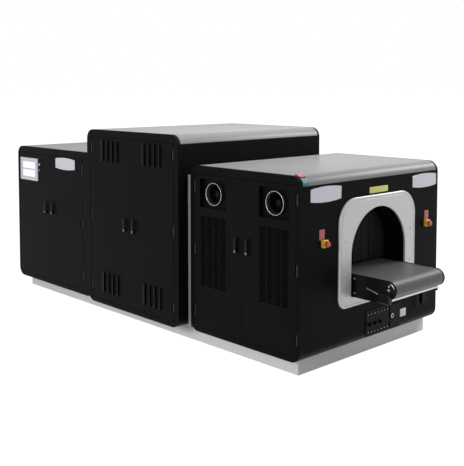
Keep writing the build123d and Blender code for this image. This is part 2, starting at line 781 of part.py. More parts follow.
# Bezels around both tunnel mouths, hollow behind
for outward, end in ((1, "entry"), (-1, "exit")):
    wall_x = outward * FRONT_X
    face_x = wall_x + outward * BEZEL_DEPTH
    with BuildPart() as bezel:
        with BuildSketch(end_plane(wall_x)):
            add(bezel_outline(0))
        extrude(amount=outward * BEZEL_DEPTH)
        front_face = bezel.faces().filter_by(Axis.X).sort_by(Axis.X)[-1 if outward > 0 else 0]
        fillet(front_face.edges(), BEZEL_EDGE_R)
        with BuildSketch(end_plane(wall_x)):
            tunnel_outline(0)
        extrude(amount=outward * BEZEL_DEPTH, mode=Mode.SUBTRACT)
        with BuildSketch(end_plane(wall_x)):
            add(bezel_outline(BEZEL_WALL))
            tunnel_outline(BEZEL_WALL, Mode.SUBTRACT)
        extrude(amount=outward * (BEZEL_DEPTH - BEZEL_WALL), mode=Mode.SUBTRACT)
        with BuildSketch(end_plane(face_x)):
            add(bezel_outline(GROOVE_INSET))
            add(bezel_outline(GROOVE_INSET + GROOVE_WIDTH), mode=Mode.SUBTRACT)
        extrude(amount=-outward * GROOVE_DEPTH, mode=Mode.SUBTRACT)
    save(bezel, f"{end}_bezel")

# Belt loop
with BuildPart() as belt:
    with BuildSketch(side_plane(TUNNEL_Y + BELT_HALF)):
        with Locations((0, ROLLER_Z)):
            SlotCenterToCenter(2 * ROLLER_X, 2 * BELT_R)
            SlotCenterToCenter(2 * ROLLER_X, 2 * (BELT_R - BELT_THICKNESS), mode=Mode.SUBTRACT)
    extrude(amount=2 * BELT_HALF)
save(belt, "belt")

# Slider bed under the carrying run, with cross rods out to the side rails
bed_end = ROLLER_X - BELT_R
bed_top = BELT_TOP - BELT_THICKNESS
with BuildPart() as conveyor_bed:
    corner_box(
        (-bed_end, TUNNEL_Y - BED_HALF, bed_top - BED_DEPTH),
        (bed_end, TUNNEL_Y + BED_HALF, bed_top),
    )
    corner_box(
        (-bed_end, TUNNEL_Y - BED_HALF + BED_WALL, bed_top - BED_DEPTH),
        (bed_end, TUNNEL_Y + BED_HALF - BED_WALL, bed_top - BED_WALL),
        Mode.SUBTRACT,
    )
    rod_pitch = 2 * (bed_end - BED_DEPTH) / (ROD_COUNT - 1)
    with Locations(side_frame(0, TUNNEL_Y, bed_top - BED_DEPTH / 2)):
        with GridLocations(rod_pitch, 1, ROD_COUNT, 1):
            Cylinder(ROD_R, 2 * RAIL_INNER)
save(conveyor_bed, "conveyor_bed")

# Side rails with rounded noses, down to the tunnel's sill, and bearings for both rollers
with BuildPart() as side_rails:
    for y in (TUNNEL_Y - RAIL_INNER, TUNNEL_Y + RAIL_INNER + RAIL_WALL):
        with BuildSketch(side_plane(y)):
            with Locations((0, (TUNNEL_SILL + ROLLER_Z) / 2)):
                Rectangle(2 * RAIL_END, ROLLER_Z - TUNNEL_SILL)
            with Locations((0, ROLLER_Z)):
                SlotCenterToCenter(2 * ROLLER_X, 2 * RAIL_NOSE_R)
            with Locations((-ROLLER_X, ROLLER_Z), (ROLLER_X, ROLLER_Z)):
                Circle(AXLE_R + RUNNING_FIT, mode=Mode.SUBTRACT)
        extrude(amount=RAIL_WALL)
save(side_rails, "side_rails")

# Rollers: closed drums, each on a through axle
for x, label in ((ROLLER_X, "nose_roller"), (-ROLLER_X, "tail_roller")):
    with BuildPart() as roller:
        with Locations(side_frame(x, TUNNEL_Y, ROLLER_Z)):
            Cylinder(ROLLER_R, 2 * ROLLER_HALF)
            Cylinder(ROLLER_R - DRUM_WALL, 2 * (ROLLER_HALF - DRUM_WALL), mode=Mode.SUBTRACT)
            Cylinder(AXLE_R, 2 * (RAIL_INNER + RAIL_WALL + AXLE_END))
    save(roller, label)

# Trays between the rails below both noses, each with an upright lip in front of the rails' ends
with BuildPart() as under_trays:
    near = FRONT_X + BEZEL_DEPTH
    far = FRONT_X + TRAY_REACH
    tray_z = TUNNEL_SILL + TRAY_RISE
    for outward in (1, -1):
        for start, half, rise in (
            (near, RAIL_INNER, TRAY_THICKNESS),
            (far - TRAY_THICKNESS, RAIL_INNER + RAIL_WALL, TRAY_LIP),
        ):
            x0, x1 = sorted((outward * start, outward * far))
            corner_box((x0, TUNNEL_Y - half, tray_z), (x1, TUNNEL_Y + half, tray_z + rise))
save(under_trays, "under_trays")

# Belt drive on the door-side rail, with its torque arm
rail_face = TUNNEL_Y - RAIL_INNER - RAIL_WALL
with BuildPart() as drive_motor:
    with Locations((DRIVE_X, rail_face - DRIVE_SIZE[1] / 2, DRIVE_Z)):
        Box(*DRIVE_SIZE)
    chamfer(drive_motor.faces().sort_by(Axis.Y)[0].edges(), DRIVE_CHAMFER)
    cap_r, cap_rise = DRIVE_CAP
    with Locations(side_frame(DRIVE_X, rail_face - DRIVE_SIZE[1], DRIVE_Z)):
        Cylinder(cap_r, 2 * cap_rise)
    shift_x, shift_z = TORQUE_ARM_SHIFT
    arm_y = rail_face - TORQUE_ARM[2] / 2
    with Locations(side_frame(DRIVE_X + shift_x, arm_y, DRIVE_Z + shift_z)):
        Box(*TORQUE_ARM, rotation=(0, 0, -TORQUE_ARM_ANGLE))
save(drive_motor, "drive_motor")

# Gantry stand: a plate on two feet, with the outer race of the rotor's bearing
gantry_axis = (TUNNEL_Y, TUNNEL_SPRING)
plate_x = GANTRY_X - SLEEVE_LENGTH
floor_z = BASE_HEIGHT + SHEET
foot_y = STAND_HALF - STAND_FOOT[1] / 2
with BuildPart() as gantry_stand:
    with BuildSketch(end_plane(plate_x)) as plate_outline:
        with Locations((TUNNEL_Y, (floor_z + STAND_TOP) / 2)):
            Rectangle(2 * STAND_HALF, STAND_TOP - floor_z)
        fillet(plate_outline.vertices().group_by(Axis.Y)[-1], STAND_CORNER_R)
        with Locations(gantry_axis):
            Circle(RACE_R, mode=Mode.SUBTRACT)
    extrude(amount=GANTRY_PLATE)
    with BuildSketch(end_plane(plate_x)):
        with Locations(gantry_axis):
            Circle(RACE_R + RACE_WALL)
            Circle(RACE_R, mode=Mode.SUBTRACT)
    extrude(amount=SLEEVE_LENGTH - ROTOR_GAP)
    for y in (TUNNEL_Y - foot_y, TUNNEL_Y + foot_y):
        with Locations((plate_x + GANTRY_PLATE / 2, y, floor_z + STAND_FOOT[2] / 2)):
            Box(*STAND_FOOT)
save(gantry_stand, "gantry_stand")

# Gantry rotor: a ring plate with a sleeve that runs in the race
with BuildPart() as gantry_rotor:
    with BuildSketch(end_plane(GANTRY_X)):
        with Locations(gantry_axis):
            Circle(ROTOR_R)
            Circle(ROTOR_BORE_R, mode=Mode.SUBTRACT)
    extrude(amount=GANTRY_PLATE)
    with BuildSketch(end_plane(plate_x)):
        with Locations(gantry_axis):
            Circle(RACE_R - RUNNING_FIT)
            Circle(RACE_R - RACE_WALL, mode=Mode.SUBTRACT)
    extrude(amount=SLEEVE_LENGTH)
save(gantry_rotor, "gantry_rotor")

# X-ray tube at the top of the rotor, on a seat, with its port towards the tunnel
rotor_face = GANTRY_X + GANTRY_PLATE
xray_z = TUNNEL_SPRING + (ROTOR_BORE_R + ROTOR_R) / 2
port_r, port_rise = XRAY_PORT
with BuildPart() as x_ray_tube:
    with Locations(side_frame(rotor_face + XRAY_R, TUNNEL_Y, xray_z)):
        Cylinder(XRAY_R, XRAY_LENGTH)
    with Locations((rotor_face + XRAY_R / 2, TUNNEL_Y, xray_z)):
        Box(XRAY_R, *XRAY_SEAT)
    with Locations((rotor_face + XRAY_R, TUNNEL_Y, xray_z - XRAY_R)):
        Cylinder(port_r, 2 * port_rise)
save(x_ray_tube, "x_ray_tube")

# Detector arc opposite the tube
with BuildPart() as detector_arc:
    with BuildSketch(end_plane(rotor_face)):
        with Locations(gantry_axis):
            Circle(ROTOR_R - DETECTOR_RIM)
            Circle(ROTOR_BORE_R + DETECTOR_MARGIN, mode=Mode.SUBTRACT)
            sector = [ray_end(2 * ROTOR_R, -90 + half * DETECTOR_ANGLE / 2) for half in (-1, 1)]
            Polygon((0, 0), *sector, align=None, mode=Mode.INTERSECT)
    extrude(amount=DETECTOR_DEPTH)
save(detector_arc, "detector_arc")

# Electronics rack behind the exit doors: a case open at the back, with six unit fronts
rack_x = EXIT.x_mid + RACK_SHIFT
rack_y = EXIT.door_y + RING_DEPTH + TUBE + RACK_SETBACK
rack_top = floor_z + RACK_HEIGHT
rack_half = RACK_SIZE[0] / 2
unit_pitch = RACK_HEIGHT / RACK_UNITS
with BuildPart() as electronics_rack:
    corner_box(
        (rack_x - rack_half, rack_y, floor_z),
        (rack_x + rack_half, rack_y + RACK_SIZE[1], rack_top),
    )
    corner_box(
        (rack_x - rack_half + RACK_WALL, rack_y + RACK_FRONT, floor_z + RACK_WALL),
        (rack_x + rack_half - RACK_WALL, rack_y + RACK_SIZE[1], rack_top - RACK_WALL),
        Mode.SUBTRACT,
    )
    for unit in range(RACK_UNITS):
        unit_z = floor_z + unit * unit_pitch
        if unit:
            with Locations((rack_x, rack_y, unit_z)):
                Box(RACK_SIZE[0], 2 * RACK_GROOVE, RACK_GROOVE, mode=Mode.SUBTRACT)
        with Locations((rack_x, rack_y - RACK_HANDLE[1] / 2, unit_z + unit_pitch / 2)):
            Box(*RACK_HANDLE)
save(electronics_rack, "electronics_rack")

# Emergency stops on the entry face: boxes with a bore, and mushroom buttons in them
stop_face = FRONT_X + STOP_BOX_DEPTH
stop_ys = [ENTRY.door_y + STOP_FROM_SIDES[0], ENTRY.back_y - STOP_FROM_SIDES[1]]
with BuildPart() as stop_button_bases:
    for y in stop_ys:
        with Locations((FRONT_X + STOP_BOX_DEPTH / 2, y, STOP_Z)):
            Box(STOP_BOX_DEPTH, STOP_BOX, STOP_BOX)
    chamfer(stop_button_bases.faces().group_by(Axis.X)[-1].edges(), STOP_BOX_CHAMFER)
    for y in stop_ys:
        with Locations(Plane(origin=(stop_face, y, STOP_Z), z_dir=(1, 0, 0))):
            Cylinder(STOP_STEM_R + RUNNING_FIT, 2 * (STOP_BOX_DEPTH - STOP_FLOOR), mode=Mode.SUBTRACT)
save(stop_button_bases, "stop_button_bases")

for y, side in zip(stop_ys, SIDES):
    with BuildPart() as button:
        with BuildSketch(end_plane(stop_face - STOP_STEM_LENGTH)):
            with Locations((y, STOP_Z)):
                Circle(STOP_STEM_R)
        extrude(amount=STOP_STEM_LENGTH + STOP_TRAVEL + 2 * STOP_GAP)
        with BuildSketch(end_plane(stop_face + STOP_TRAVEL + STOP_GAP)):
            with Locations((y, STOP_Z)):
                Circle(STOP_HEAD_R)
        extrude(amount=STOP_HEAD_HEIGHT)
        fillet(button.edges().group_by(Axis.X)[-1], STOP_HEAD_ROUND)
    save(button, f"{side}_stop_button")

# Operator display on the exit door that is farthest from the entry
display_x = EXIT.x0 + DISPLAY_FROM_END
display_z = EXIT.top - DISPLAY_TOP_DROP
glass_y = EXIT.door_y - DISPLAY_RISE + DISPLAY_POCKET
with BuildPart() as display_housing:
    with BuildSketch(side_plane(EXIT.door_y)):
        with Locations((display_x, display_z)):
            RectangleRounded(*DISPLAY_SIZE, DISPLAY_CORNER_R)
    extrude(amount=DISPLAY_RISE)
    fillet(display_housing.faces().sort_by(Axis.Y)[0].edges(), DISPLAY_ROUND)
    pocket_size = [edge - 2 * DISPLAY_RIM for edge in DISPLAY_SIZE]
    with Locations(side_frame(display_x, EXIT.door_y - DISPLAY_RISE, display_z)):
        Box(*pocket_size, 2 * DISPLAY_POCKET, mode=Mode.SUBTRACT)
    with Locations(side_frame(display_x, glass_y, display_z)):
        with GridLocations(PAD_PITCH, 1, PAD_COUNT, 1):
            Box(*PAD_SIZE, DISPLAY_POCKET)
save(display_housing, "display_housing")

with BuildPart() as display_screens:
    for shift in (-SCREEN_SHIFT, SCREEN_SHIFT):
        with Locations(side_frame(display_x, glass_y - SCREEN_THICKNESS / 2, display_z + shift)):
            Box(*SCREEN_SIZE, SCREEN_THICKNESS)
save(display_screens, "display_screens")

# Push buttons beside the display, each with a stem through the door sheet
key_y = EXIT.door_y - KEY_TRAVEL - FIT
for rise, label in zip(KEY_RISES, ("upper", "lower")):
    with BuildPart() as key:
        with BuildSketch(side_plane(key_y)):
            with Locations(key_place(rise)):
                Circle(KEY_R)
        extrude(amount=KEY_HEIGHT)
        fillet(key.edges().group_by(Axis.Y)[0], KEY_ROUND)
        with BuildSketch(side_plane(key_y)):
            with Locations(key_place(rise)):
                Circle(KEY_STEM_R)
        extrude(amount=-(KEY_TRAVEL + SHEET + KEY_STEM_END))
    save(key, f"{label}_display_button")

# Status lamps rolled over the cover's corner, beside the rim of the door side
for label, (low_angle, high_angle) in LAMP_ARCS.items():
    with BuildPart() as lamp:
        with BuildSketch(side_plane(ENTRY.door_y + RING_DEPTH + LAMP_WIDTH)):
            with Locations((ENTRY.x1 - CORNER_R, ENTRY.top - CORNER_R)):
                Circle(CORNER_R + LAMP_RISE)
                Circle(CORNER_R, mode=Mode.SUBTRACT)
                wedge = [ray_end(2 * CORNER_R, angle) for angle in (low_angle, high_angle)]
                Polygon((0, 0), *wedge, align=None, mode=Mode.INTERSECT)
        extrude(amount=LAMP_WIDTH)
        fillet(lamp.edges().filter_by(Axis.Y).group_by(SortBy.DISTANCE)[-1], LAMP_ROUND)
    save(lamp, label)


# Outline of a bare name plate with bowed long edges, drawn into the open line
def plate_outline_lines():
    half = PLATE_LENGTH / 2
    end = PLATE_END / 2
    Polyline((-half, end), (-half, -end))
    ThreePointArc((-half, -end), (0, -end - PLATE_BOW), (half, -end))
    Polyline((half, -end), (half, end))
    ThreePointArc((half, end), (0, end + PLATE_BOW), (-half, end))


plate_ys = (ENTRY.door_y + FRONT_PLATE_FROM_SIDES[0], ENTRY.back_y - FRONT_PLATE_FROM_SIDES[1])
with BuildPart() as front_name_plates:
    for y in plate_ys:
        corner = (FRONT_X, y, ENTRY.top - FRONT_PLATE_DROP)
        with BuildSketch(Plane(origin=corner, x_dir=(0, 1, 0), z_dir=(1, 0, 0))):
            with BuildLine():
                plate_outline_lines()
            make_face()
        extrude(amount=PLATE_THICKNESS)
save(front_name_plates, "front_name_plates")

with BuildPart() as door_name_plate:
    plate_x = EXIT.seam_x + DOOR_PLATE_SHIFT
    with BuildSketch(side_frame(plate_x, EXIT.door_y, EXIT.top - DOOR_PLATE_DROP)):
        with BuildLine():
            plate_outline_lines()
        make_face()
    extrude(amount=PLATE_THICKNESS)
save(door_name_plate, "door_name_plate")

# Service panel under the nose: plate, socket rows, plugs, port plate and a small box
panel_face = end_plane(FRONT_X + PANEL_THICKNESS)
port_place = (PANEL_Y + PORT_PLATE_SHIFT[0], PANEL_Z + PORT_PLATE_SHIFT[1])
with BuildPart() as service_panel:
    with BuildSketch(end_plane(FRONT_X)):
        with Locations((PANEL_Y, PANEL_Z)):
            Rectangle(*PANEL_SIZE)
        with Locations(port_place):
            Rectangle(*PORT_PLATE_SIZE)
    extrude(amount=PANEL_THICKNESS)
    with BuildSketch(panel_face):
        for shift in SOCKET_SHIFTS:
            with Locations((PANEL_Y, PANEL_Z + shift)):
                with GridLocations(SOCKET_PITCH, 1, SOCKET_COUNT, 1):
                    Circle(SOCKET_R)
    extrude(amount=SOCKET_RISE)
    with BuildSketch(panel_face):
        with Locations([(PANEL_Y + shift, PANEL_Z - PLUG_DROP) for shift in PLUG_SHIFTS]):
            Circle(PLUG_R)
    extrude(amount=PLUG_LENGTH)
    fillet(service_panel.edges().group_by(Axis.X)[-1], PLUG_ROUND)
    with BuildSketch(panel_face):
        with Locations((PANEL_Y + PORT_SHIFT[0], PANEL_Z + PORT_SHIFT[1])):
            Circle(PORT_R[0])
            Circle(PORT_R[1], mode=Mode.SUBTRACT)
    extrude(amount=PORT_RISE)
    with BuildSketch(end_plane(FRONT_X)):
        with Locations((PANEL_Y + BOX_SHIFT[0], PANEL_Z + BOX_SHIFT[1])):
            Rectangle(*BOX_SIZE)
    extrude(amount=BOX_DEPTH)
save(service_panel, "service_panel")
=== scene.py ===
# Hold baggage CT scanner: finishes, small fittings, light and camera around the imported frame
import math

import bmesh
import bpy
import numpy as np
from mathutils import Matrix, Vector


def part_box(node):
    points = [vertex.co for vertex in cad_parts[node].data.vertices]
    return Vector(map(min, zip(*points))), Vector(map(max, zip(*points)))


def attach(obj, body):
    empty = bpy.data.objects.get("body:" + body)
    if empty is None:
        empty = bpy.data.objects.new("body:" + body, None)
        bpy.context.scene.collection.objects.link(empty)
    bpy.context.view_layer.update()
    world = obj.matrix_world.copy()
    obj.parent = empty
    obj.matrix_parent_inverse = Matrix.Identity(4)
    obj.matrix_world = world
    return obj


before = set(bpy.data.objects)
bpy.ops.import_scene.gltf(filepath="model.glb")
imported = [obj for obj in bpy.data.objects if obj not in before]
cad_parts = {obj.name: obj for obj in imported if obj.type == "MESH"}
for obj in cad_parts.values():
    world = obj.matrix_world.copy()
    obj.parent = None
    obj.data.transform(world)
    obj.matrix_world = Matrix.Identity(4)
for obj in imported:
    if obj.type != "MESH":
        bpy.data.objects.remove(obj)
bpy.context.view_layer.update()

print("frame loaded:", len(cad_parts), "nodes")

# Camera: at the photograph's viewing angle, towards the entry end and the door side
cameraValues = {
    "place": (6.5535, -5.8418, 2.4236),   # metres
    "yaw": 46.49,                         # degrees, turned left from looking along +Y
    "pitchDown": 3.79,
    "lens": 62.47,
    "sensor": 36.0,
    "shiftY": -0.20,
    "clipEnd": 1000,
}


def addCamera(values):
    data = bpy.data.cameras.new("camera")
    data.lens = values["lens"]
    data.sensor_width = values["sensor"]
    data.shift_y = values["shiftY"]
    data.clip_end = values["clipEnd"]
    camera = bpy.data.objects.new("camera", data)
    camera.location = values["place"]
    camera.rotation_euler = (math.radians(90 - values["pitchDown"]), 0, math.radians(values["yaw"]))
    bpy.context.scene.collection.objects.link(camera)
    bpy.context.scene.camera = camera


addCamera(cameraValues)
bpy.context.scene.view_settings.view_transform = "Standard"

# Lamps: one overhead, one behind for the highlights on the rounded edges, one fill at each seen side
lampValues = {
    "overhead": {"place": (0.9, 0.0, 4.3), "aim": (0.8, 0.0, 1.6), "size": (1.6, 3.0), "power": 85},
    "backSide": {"place": (3.3, 4.3, 4.4), "aim": (2.2, 0.0, 1.4), "size": (1.8, 1.8), "power": 170},
    "entrySide": {"place": (8.5, 1.5, 3.0), "aim": (1.5, 0.0, 0.9), "size": (3.0, 3.0), "power": 11},
    "doorSide": {"place": (1.0, -8.0, 3.0), "aim": (1.0, 0.0, 0.8), "size": (5.0, 2.0), "power": 240},
}
skyValues = {"light": 0.36, "shown": 1.0}
floorValues = {"radius": 400.0, "colour": (0.55, 0.55, 0.55, 1), "white": 0.5, "glow": 1.95,
               "sides": 64}


def aimAt(place, target):
    # the two angles that turn a lamp's own -Z axis along the way to its target
    way = np.array(target, float) - np.array(place, float)
    turn = math.atan2(-way[0], way[1])
    tilt = math.atan2(math.hypot(way[0], way[1]), -way[2])
    return (tilt, 0, turn)


def addLamps(lamps):
    for name, values in lamps.items():
        data = bpy.data.lights.new(name, "AREA")
        data.shape = "RECTANGLE"
        data.size, data.size_y = values["size"]
        data.energy = values["power"]
        lamp = bpy.data.objects.new(name, data)
        lamp.location = values["place"]
        lamp.rotation_euler = aimAt(values["place"], values["aim"])
        bpy.context.scene.collection.objects.link(lamp)


def addMath(tree, operation, *values, clamp=False):
    # each value is a number or another node's output
    node = tree.nodes.new("ShaderNodeMath")
    node.operation = operation
    node.use_clamp = clamp
    for socket, value in zip(node.inputs, values):
        if isinstance(value, (int, float)):
            socket.default_value = value
        else:
            tree.links.new(value, socket)
    return node.outputs[0]


def seenDirectly(tree):
    # 1 for camera, glossy and transmission rays, 0 for the rays that light the object
    rays = tree.nodes.new("ShaderNodeLightPath").outputs
    shown = addMath(tree, "MAXIMUM", rays["Is Camera Ray"], rays["Is Glossy Ray"])
    return addMath(tree, "MAXIMUM", shown, rays["Is Transmission Ray"])


def addSky(values):
    world = bpy.data.worlds.new("studio")
    world.use_nodes = True
    bpy.context.scene.world = world
    tree = world.node_tree
    tree.nodes.clear()
    light = tree.nodes.new("ShaderNodeBackground")
    light.inputs["Strength"].default_value = values["light"]
    shown = tree.nodes.new("ShaderNodeBackground")
    shown.inputs["Strength"].default_value = values["shown"]
    for node in (light, shown):
        node.inputs["Color"].default_value = (1, 1, 1, 1)
    mix = tree.nodes.new("ShaderNodeMixShader")
    out = tree.nodes.new("ShaderNodeOutputWorld")
    tree.links.new(seenDirectly(tree), mix.inputs[0])
    tree.links.new(light.outputs[0], mix.inputs[1])
    tree.links.new(shown.outputs[0], mix.inputs[2])
    tree.links.new(mix.outputs[0], out.inputs[0])


def addFloor(values):
    # a disc: radius times (cosine, sine) of the angle, as one face
    angle = np.linspace(0, 2 * math.pi, values["sides"], endpoint=False)
    ring = np.stack([np.cos(angle), np.sin(angle), np.zeros_like(angle)], axis=1) * values["radius"]
    mesh = bpy.data.meshes.new("floor")
    mesh.from_pydata(ring, [], [list(range(values["sides"]))])
    floor = bpy.data.objects.new("floor", mesh)
    bpy.context.scene.collection.objects.link(floor)
    material = bpy.data.materials.new("floorPaint")
    material.use_nodes = True
    tree = material.node_tree
    surface = tree.nodes["Principled BSDF"]
    surface.inputs["Base Color"].default_value = values["colour"]
    surface.inputs["Roughness"].default_value = 1.0
    surface.inputs["Specular IOR Level"].default_value = 0.0
    white = tree.nodes.new("ShaderNodeEmission")
    white.inputs["Strength"].default_value = values["glow"]
    mix = tree.nodes.new("ShaderNodeMixShader")
    tree.links.new(addMath(tree, "MULTIPLY", seenDirectly(tree), values["white"]), mix.inputs[0])
    tree.links.new(surface.outputs[0], mix.inputs[1])
    tree.links.new(white.outputs[0], mix.inputs[2])
    tree.links.new(mix.outputs[0], tree.nodes["Material Output"].inputs[0])
    mesh.materials.append(material)


addLamps(lampValues)
addSky(skyValues)
addFloor(floorValues)
print("camera, lamps and floor placed")

# Shared effects, as node groups
effectValues = {
    "grainScale": 420.0, "cloudScale": 2.2,   # fine grain and slow cloud of the paints
    "wearScale": 22.0,                        # breaks up the worn edges
    "edgeSamples": 4, "coatRoughness": 0.1,
    "dustScale": 3.5, "dustColour": (0.42, 0.41, 0.39, 1),
    "brushStretch": (0.6, 60.0, 60.0),
    "grainDepth": 0.0004,                     # metres
}


def newGroup(name, inputs, outputs):
    group = bpy.data.node_groups.new(name, "ShaderNodeTree")
    for label, kind, value in inputs:
        socket = group.interface.new_socket(label, in_out="INPUT", socket_type=kind)
        socket.default_value = value
    for label, kind in outputs:
        group.interface.new_socket(label, in_out="OUTPUT", socket_type=kind)
    return group, group.nodes.new("NodeGroupInput"), group.nodes.new("NodeGroupOutput")


def addNoise(tree, place, scale, detail, stretch=None):
    if stretch is not None:
        mapping = tree.nodes.new("ShaderNodeMapping")
        mapping.inputs["Scale"].default_value = stretch
        tree.links.new(place, mapping.inputs["Vector"])
        place = mapping.outputs[0]
    noise = tree.nodes.new("ShaderNodeTexNoise")
    noise.inputs["Detail"].default_value = detail
    tree.links.new(place, noise.inputs["Vector"])
    if isinstance(scale, (int, float)):
        noise.inputs["Scale"].default_value = scale
    else:
        tree.links.new(scale, noise.inputs["Scale"])
    return noise.outputs["Fac"]


def makeGrainGroup():
    # fine grain for the height, and a slow cloud for small differences of shade
    group, given, out = newGroup(
        "paintGrain",
        [("Scale", "NodeSocketFloat", effectValues["grainScale"]),
         ("Cloud Scale", "NodeSocketFloat", effectValues["cloudScale"])],
        [("Grain", "NodeSocketFloat"), ("Cloud", "NodeSocketFloat")],
    )
    place = group.nodes.new("ShaderNodeTexCoord").outputs["Object"]
    grain = addNoise(group, place, given.outputs["Scale"], 3)
    cloud = addNoise(group, place, given.outputs["Cloud Scale"], 4)
    group.links.new(grain, out.inputs["Grain"])
    group.links.new(cloud, out.inputs["Cloud"])
    return group


def makeEdgeGroup():
    # how far the rounded normal turns from the true one marks an edge, and noise breaks the mark up
    group, given, out = newGroup(
        "edgeMark",
        [("Radius", "NodeSocketFloat", 0.003), ("Strength", "NodeSocketFloat", 1.0)],
        [("Mask", "NodeSocketFloat"), ("Normal", "NodeSocketVector")],
    )
    bevel = group.nodes.new("ShaderNodeBevel")
    bevel.samples = effectValues["edgeSamples"]
    group.links.new(given.outputs["Radius"], bevel.inputs["Radius"])
    flat = group.nodes.new("ShaderNodeNewGeometry").outputs["Normal"]
    dot = group.nodes.new("ShaderNodeVectorMath")
    dot.operation = "DOT_PRODUCT"
    group.links.new(bevel.outputs[0], dot.inputs[0])
    group.links.new(flat, dot.inputs[1])
    turned = addMath(group, "SUBTRACT", 1.0, dot.outputs["Value"])
    mark = addMath(group, "MULTIPLY", turned, given.outputs["Strength"], clamp=True)
    place = group.nodes.new("ShaderNodeTexCoord").outputs["Object"]
    breaks = addNoise(group, place, effectValues["wearScale"], 5)
    broken = addMath(group, "MULTIPLY", mark, breaks, clamp=True)
    group.links.new(broken, out.inputs["Mask"])
    group.links.new(bevel.outputs[0], out.inputs["Normal"])
    return group


def makeDustGroup():
    # faces that look up gather dust, in soft patches
    group, given, out = newGroup(
        "settledDust", [("Amount", "NodeSocketFloat", 0.2)], [("Mask", "NodeSocketFloat")]
    )
    up = group.nodes.new("ShaderNodeSeparateXYZ")
    group.links.new(group.nodes.new("ShaderNodeNewGeometry").outputs["Normal"], up.inputs[0])
    place = group.nodes.new("ShaderNodeTexCoord").outputs["Object"]
    patches = addNoise(group, place, effectValues["dustScale"], 6)
    facing = addMath(group, "MAXIMUM", up.outputs["Z"], 0.0)
    lying = addMath(group, "MULTIPLY", facing, patches)
    mask = addMath(group, "MULTIPLY", lying, given.outputs["Amount"], clamp=True)
    group.links.new(mask, out.inputs["Mask"])
    return group


def makeBrushGroup():
    # long fine lines along X: noise squeezed across the lines
    group, given, out = newGroup(
        "brushedLines", [("Scale", "NodeSocketFloat", 6.0)], [("Lines", "NodeSocketFloat")]
    )
    place = group.nodes.new("ShaderNodeTexCoord").outputs["Object"]
    lines = addNoise(group, place, given.outputs["Scale"], 4, effectValues["brushStretch"])
    group.links.new(lines, out.inputs["Lines"])
    return group


grainGroup = makeGrainGroup()
edgeGroup = makeEdgeGroup()
dustGroup = makeDustGroup()
brushGroup = makeBrushGroup()


def placeGroup(tree, group, **values):
    node = tree.nodes.new("ShaderNodeGroup")
    node.node_tree = group
    for label, value in values.items():
        node.inputs[label].default_value = value
    return node


def mixColours(tree, amount, first, second):
    node = tree.nodes.new("ShaderNodeMix")
    node.data_type = "RGBA"
    for socket, value in ((node.inputs[0], amount), (node.inputs[6], first), (node.inputs[7], second)):
        if isinstance(value, (tuple, float)):
            socket.default_value = value
        else:
            tree.links.new(value, socket)
    return node.outputs[2]


def newPaint(name, values):
    # one painted or moulded surface: two shades clouded together, worn edges, dust and a fine grain
    material = bpy.data.materials.new(name)
    material.use_nodes = True
    tree = material.node_tree
    surface = tree.nodes["Principled BSDF"]
    grain = placeGroup(tree, grainGroup, Scale=values["grainScale"])
    edge = placeGroup(tree, edgeGroup, Radius=values["edge"], Strength=values["wear"])
    dust = placeGroup(tree, dustGroup, Amount=values["dust"])
    shade = mixColours(tree, grain.outputs["Cloud"], values["dark"], values["light"])
    shade = mixColours(tree, edge.outputs["Mask"], shade, values["worn"])
    shade = mixColours(tree, dust.outputs["Mask"], shade, effectValues["dustColour"])
    tree.links.new(shade, surface.inputs["Base Color"])
    spread = values["roughSpread"]
    rough = addMath(tree, "MULTIPLY_ADD", grain.outputs["Cloud"], spread, values["roughness"] - spread / 2)
    tree.links.new(rough, surface.inputs["Roughness"])
    bump = tree.nodes.new("ShaderNodeBump")
    bump.inputs["Strength"].default_value = values["grain"]
    bump.inputs["Distance"].default_value = effectValues["grainDepth"]
    tree.links.new(grain.outputs["Grain"], bump.inputs["Height"])
    tree.links.new(edge.outputs["Normal"], bump.inputs["Normal"])
    tree.links.new(bump.outputs[0], surface.inputs["Normal"])
    surface.inputs["Metallic"].default_value = values.get("metal", 0.0)
    surface.inputs["Specular IOR Level"].default_value = values.get("specular", 0.5)
    surface.inputs["Coat Weight"].default_value = values.get("coat", 0.0)
    surface.inputs["Coat Roughness"].default_value = effectValues["coatRoughness"]
    return material


def grey(value, tint=0.0):
    return (value * (1 - tint), value, value * (1 + tint), 1)


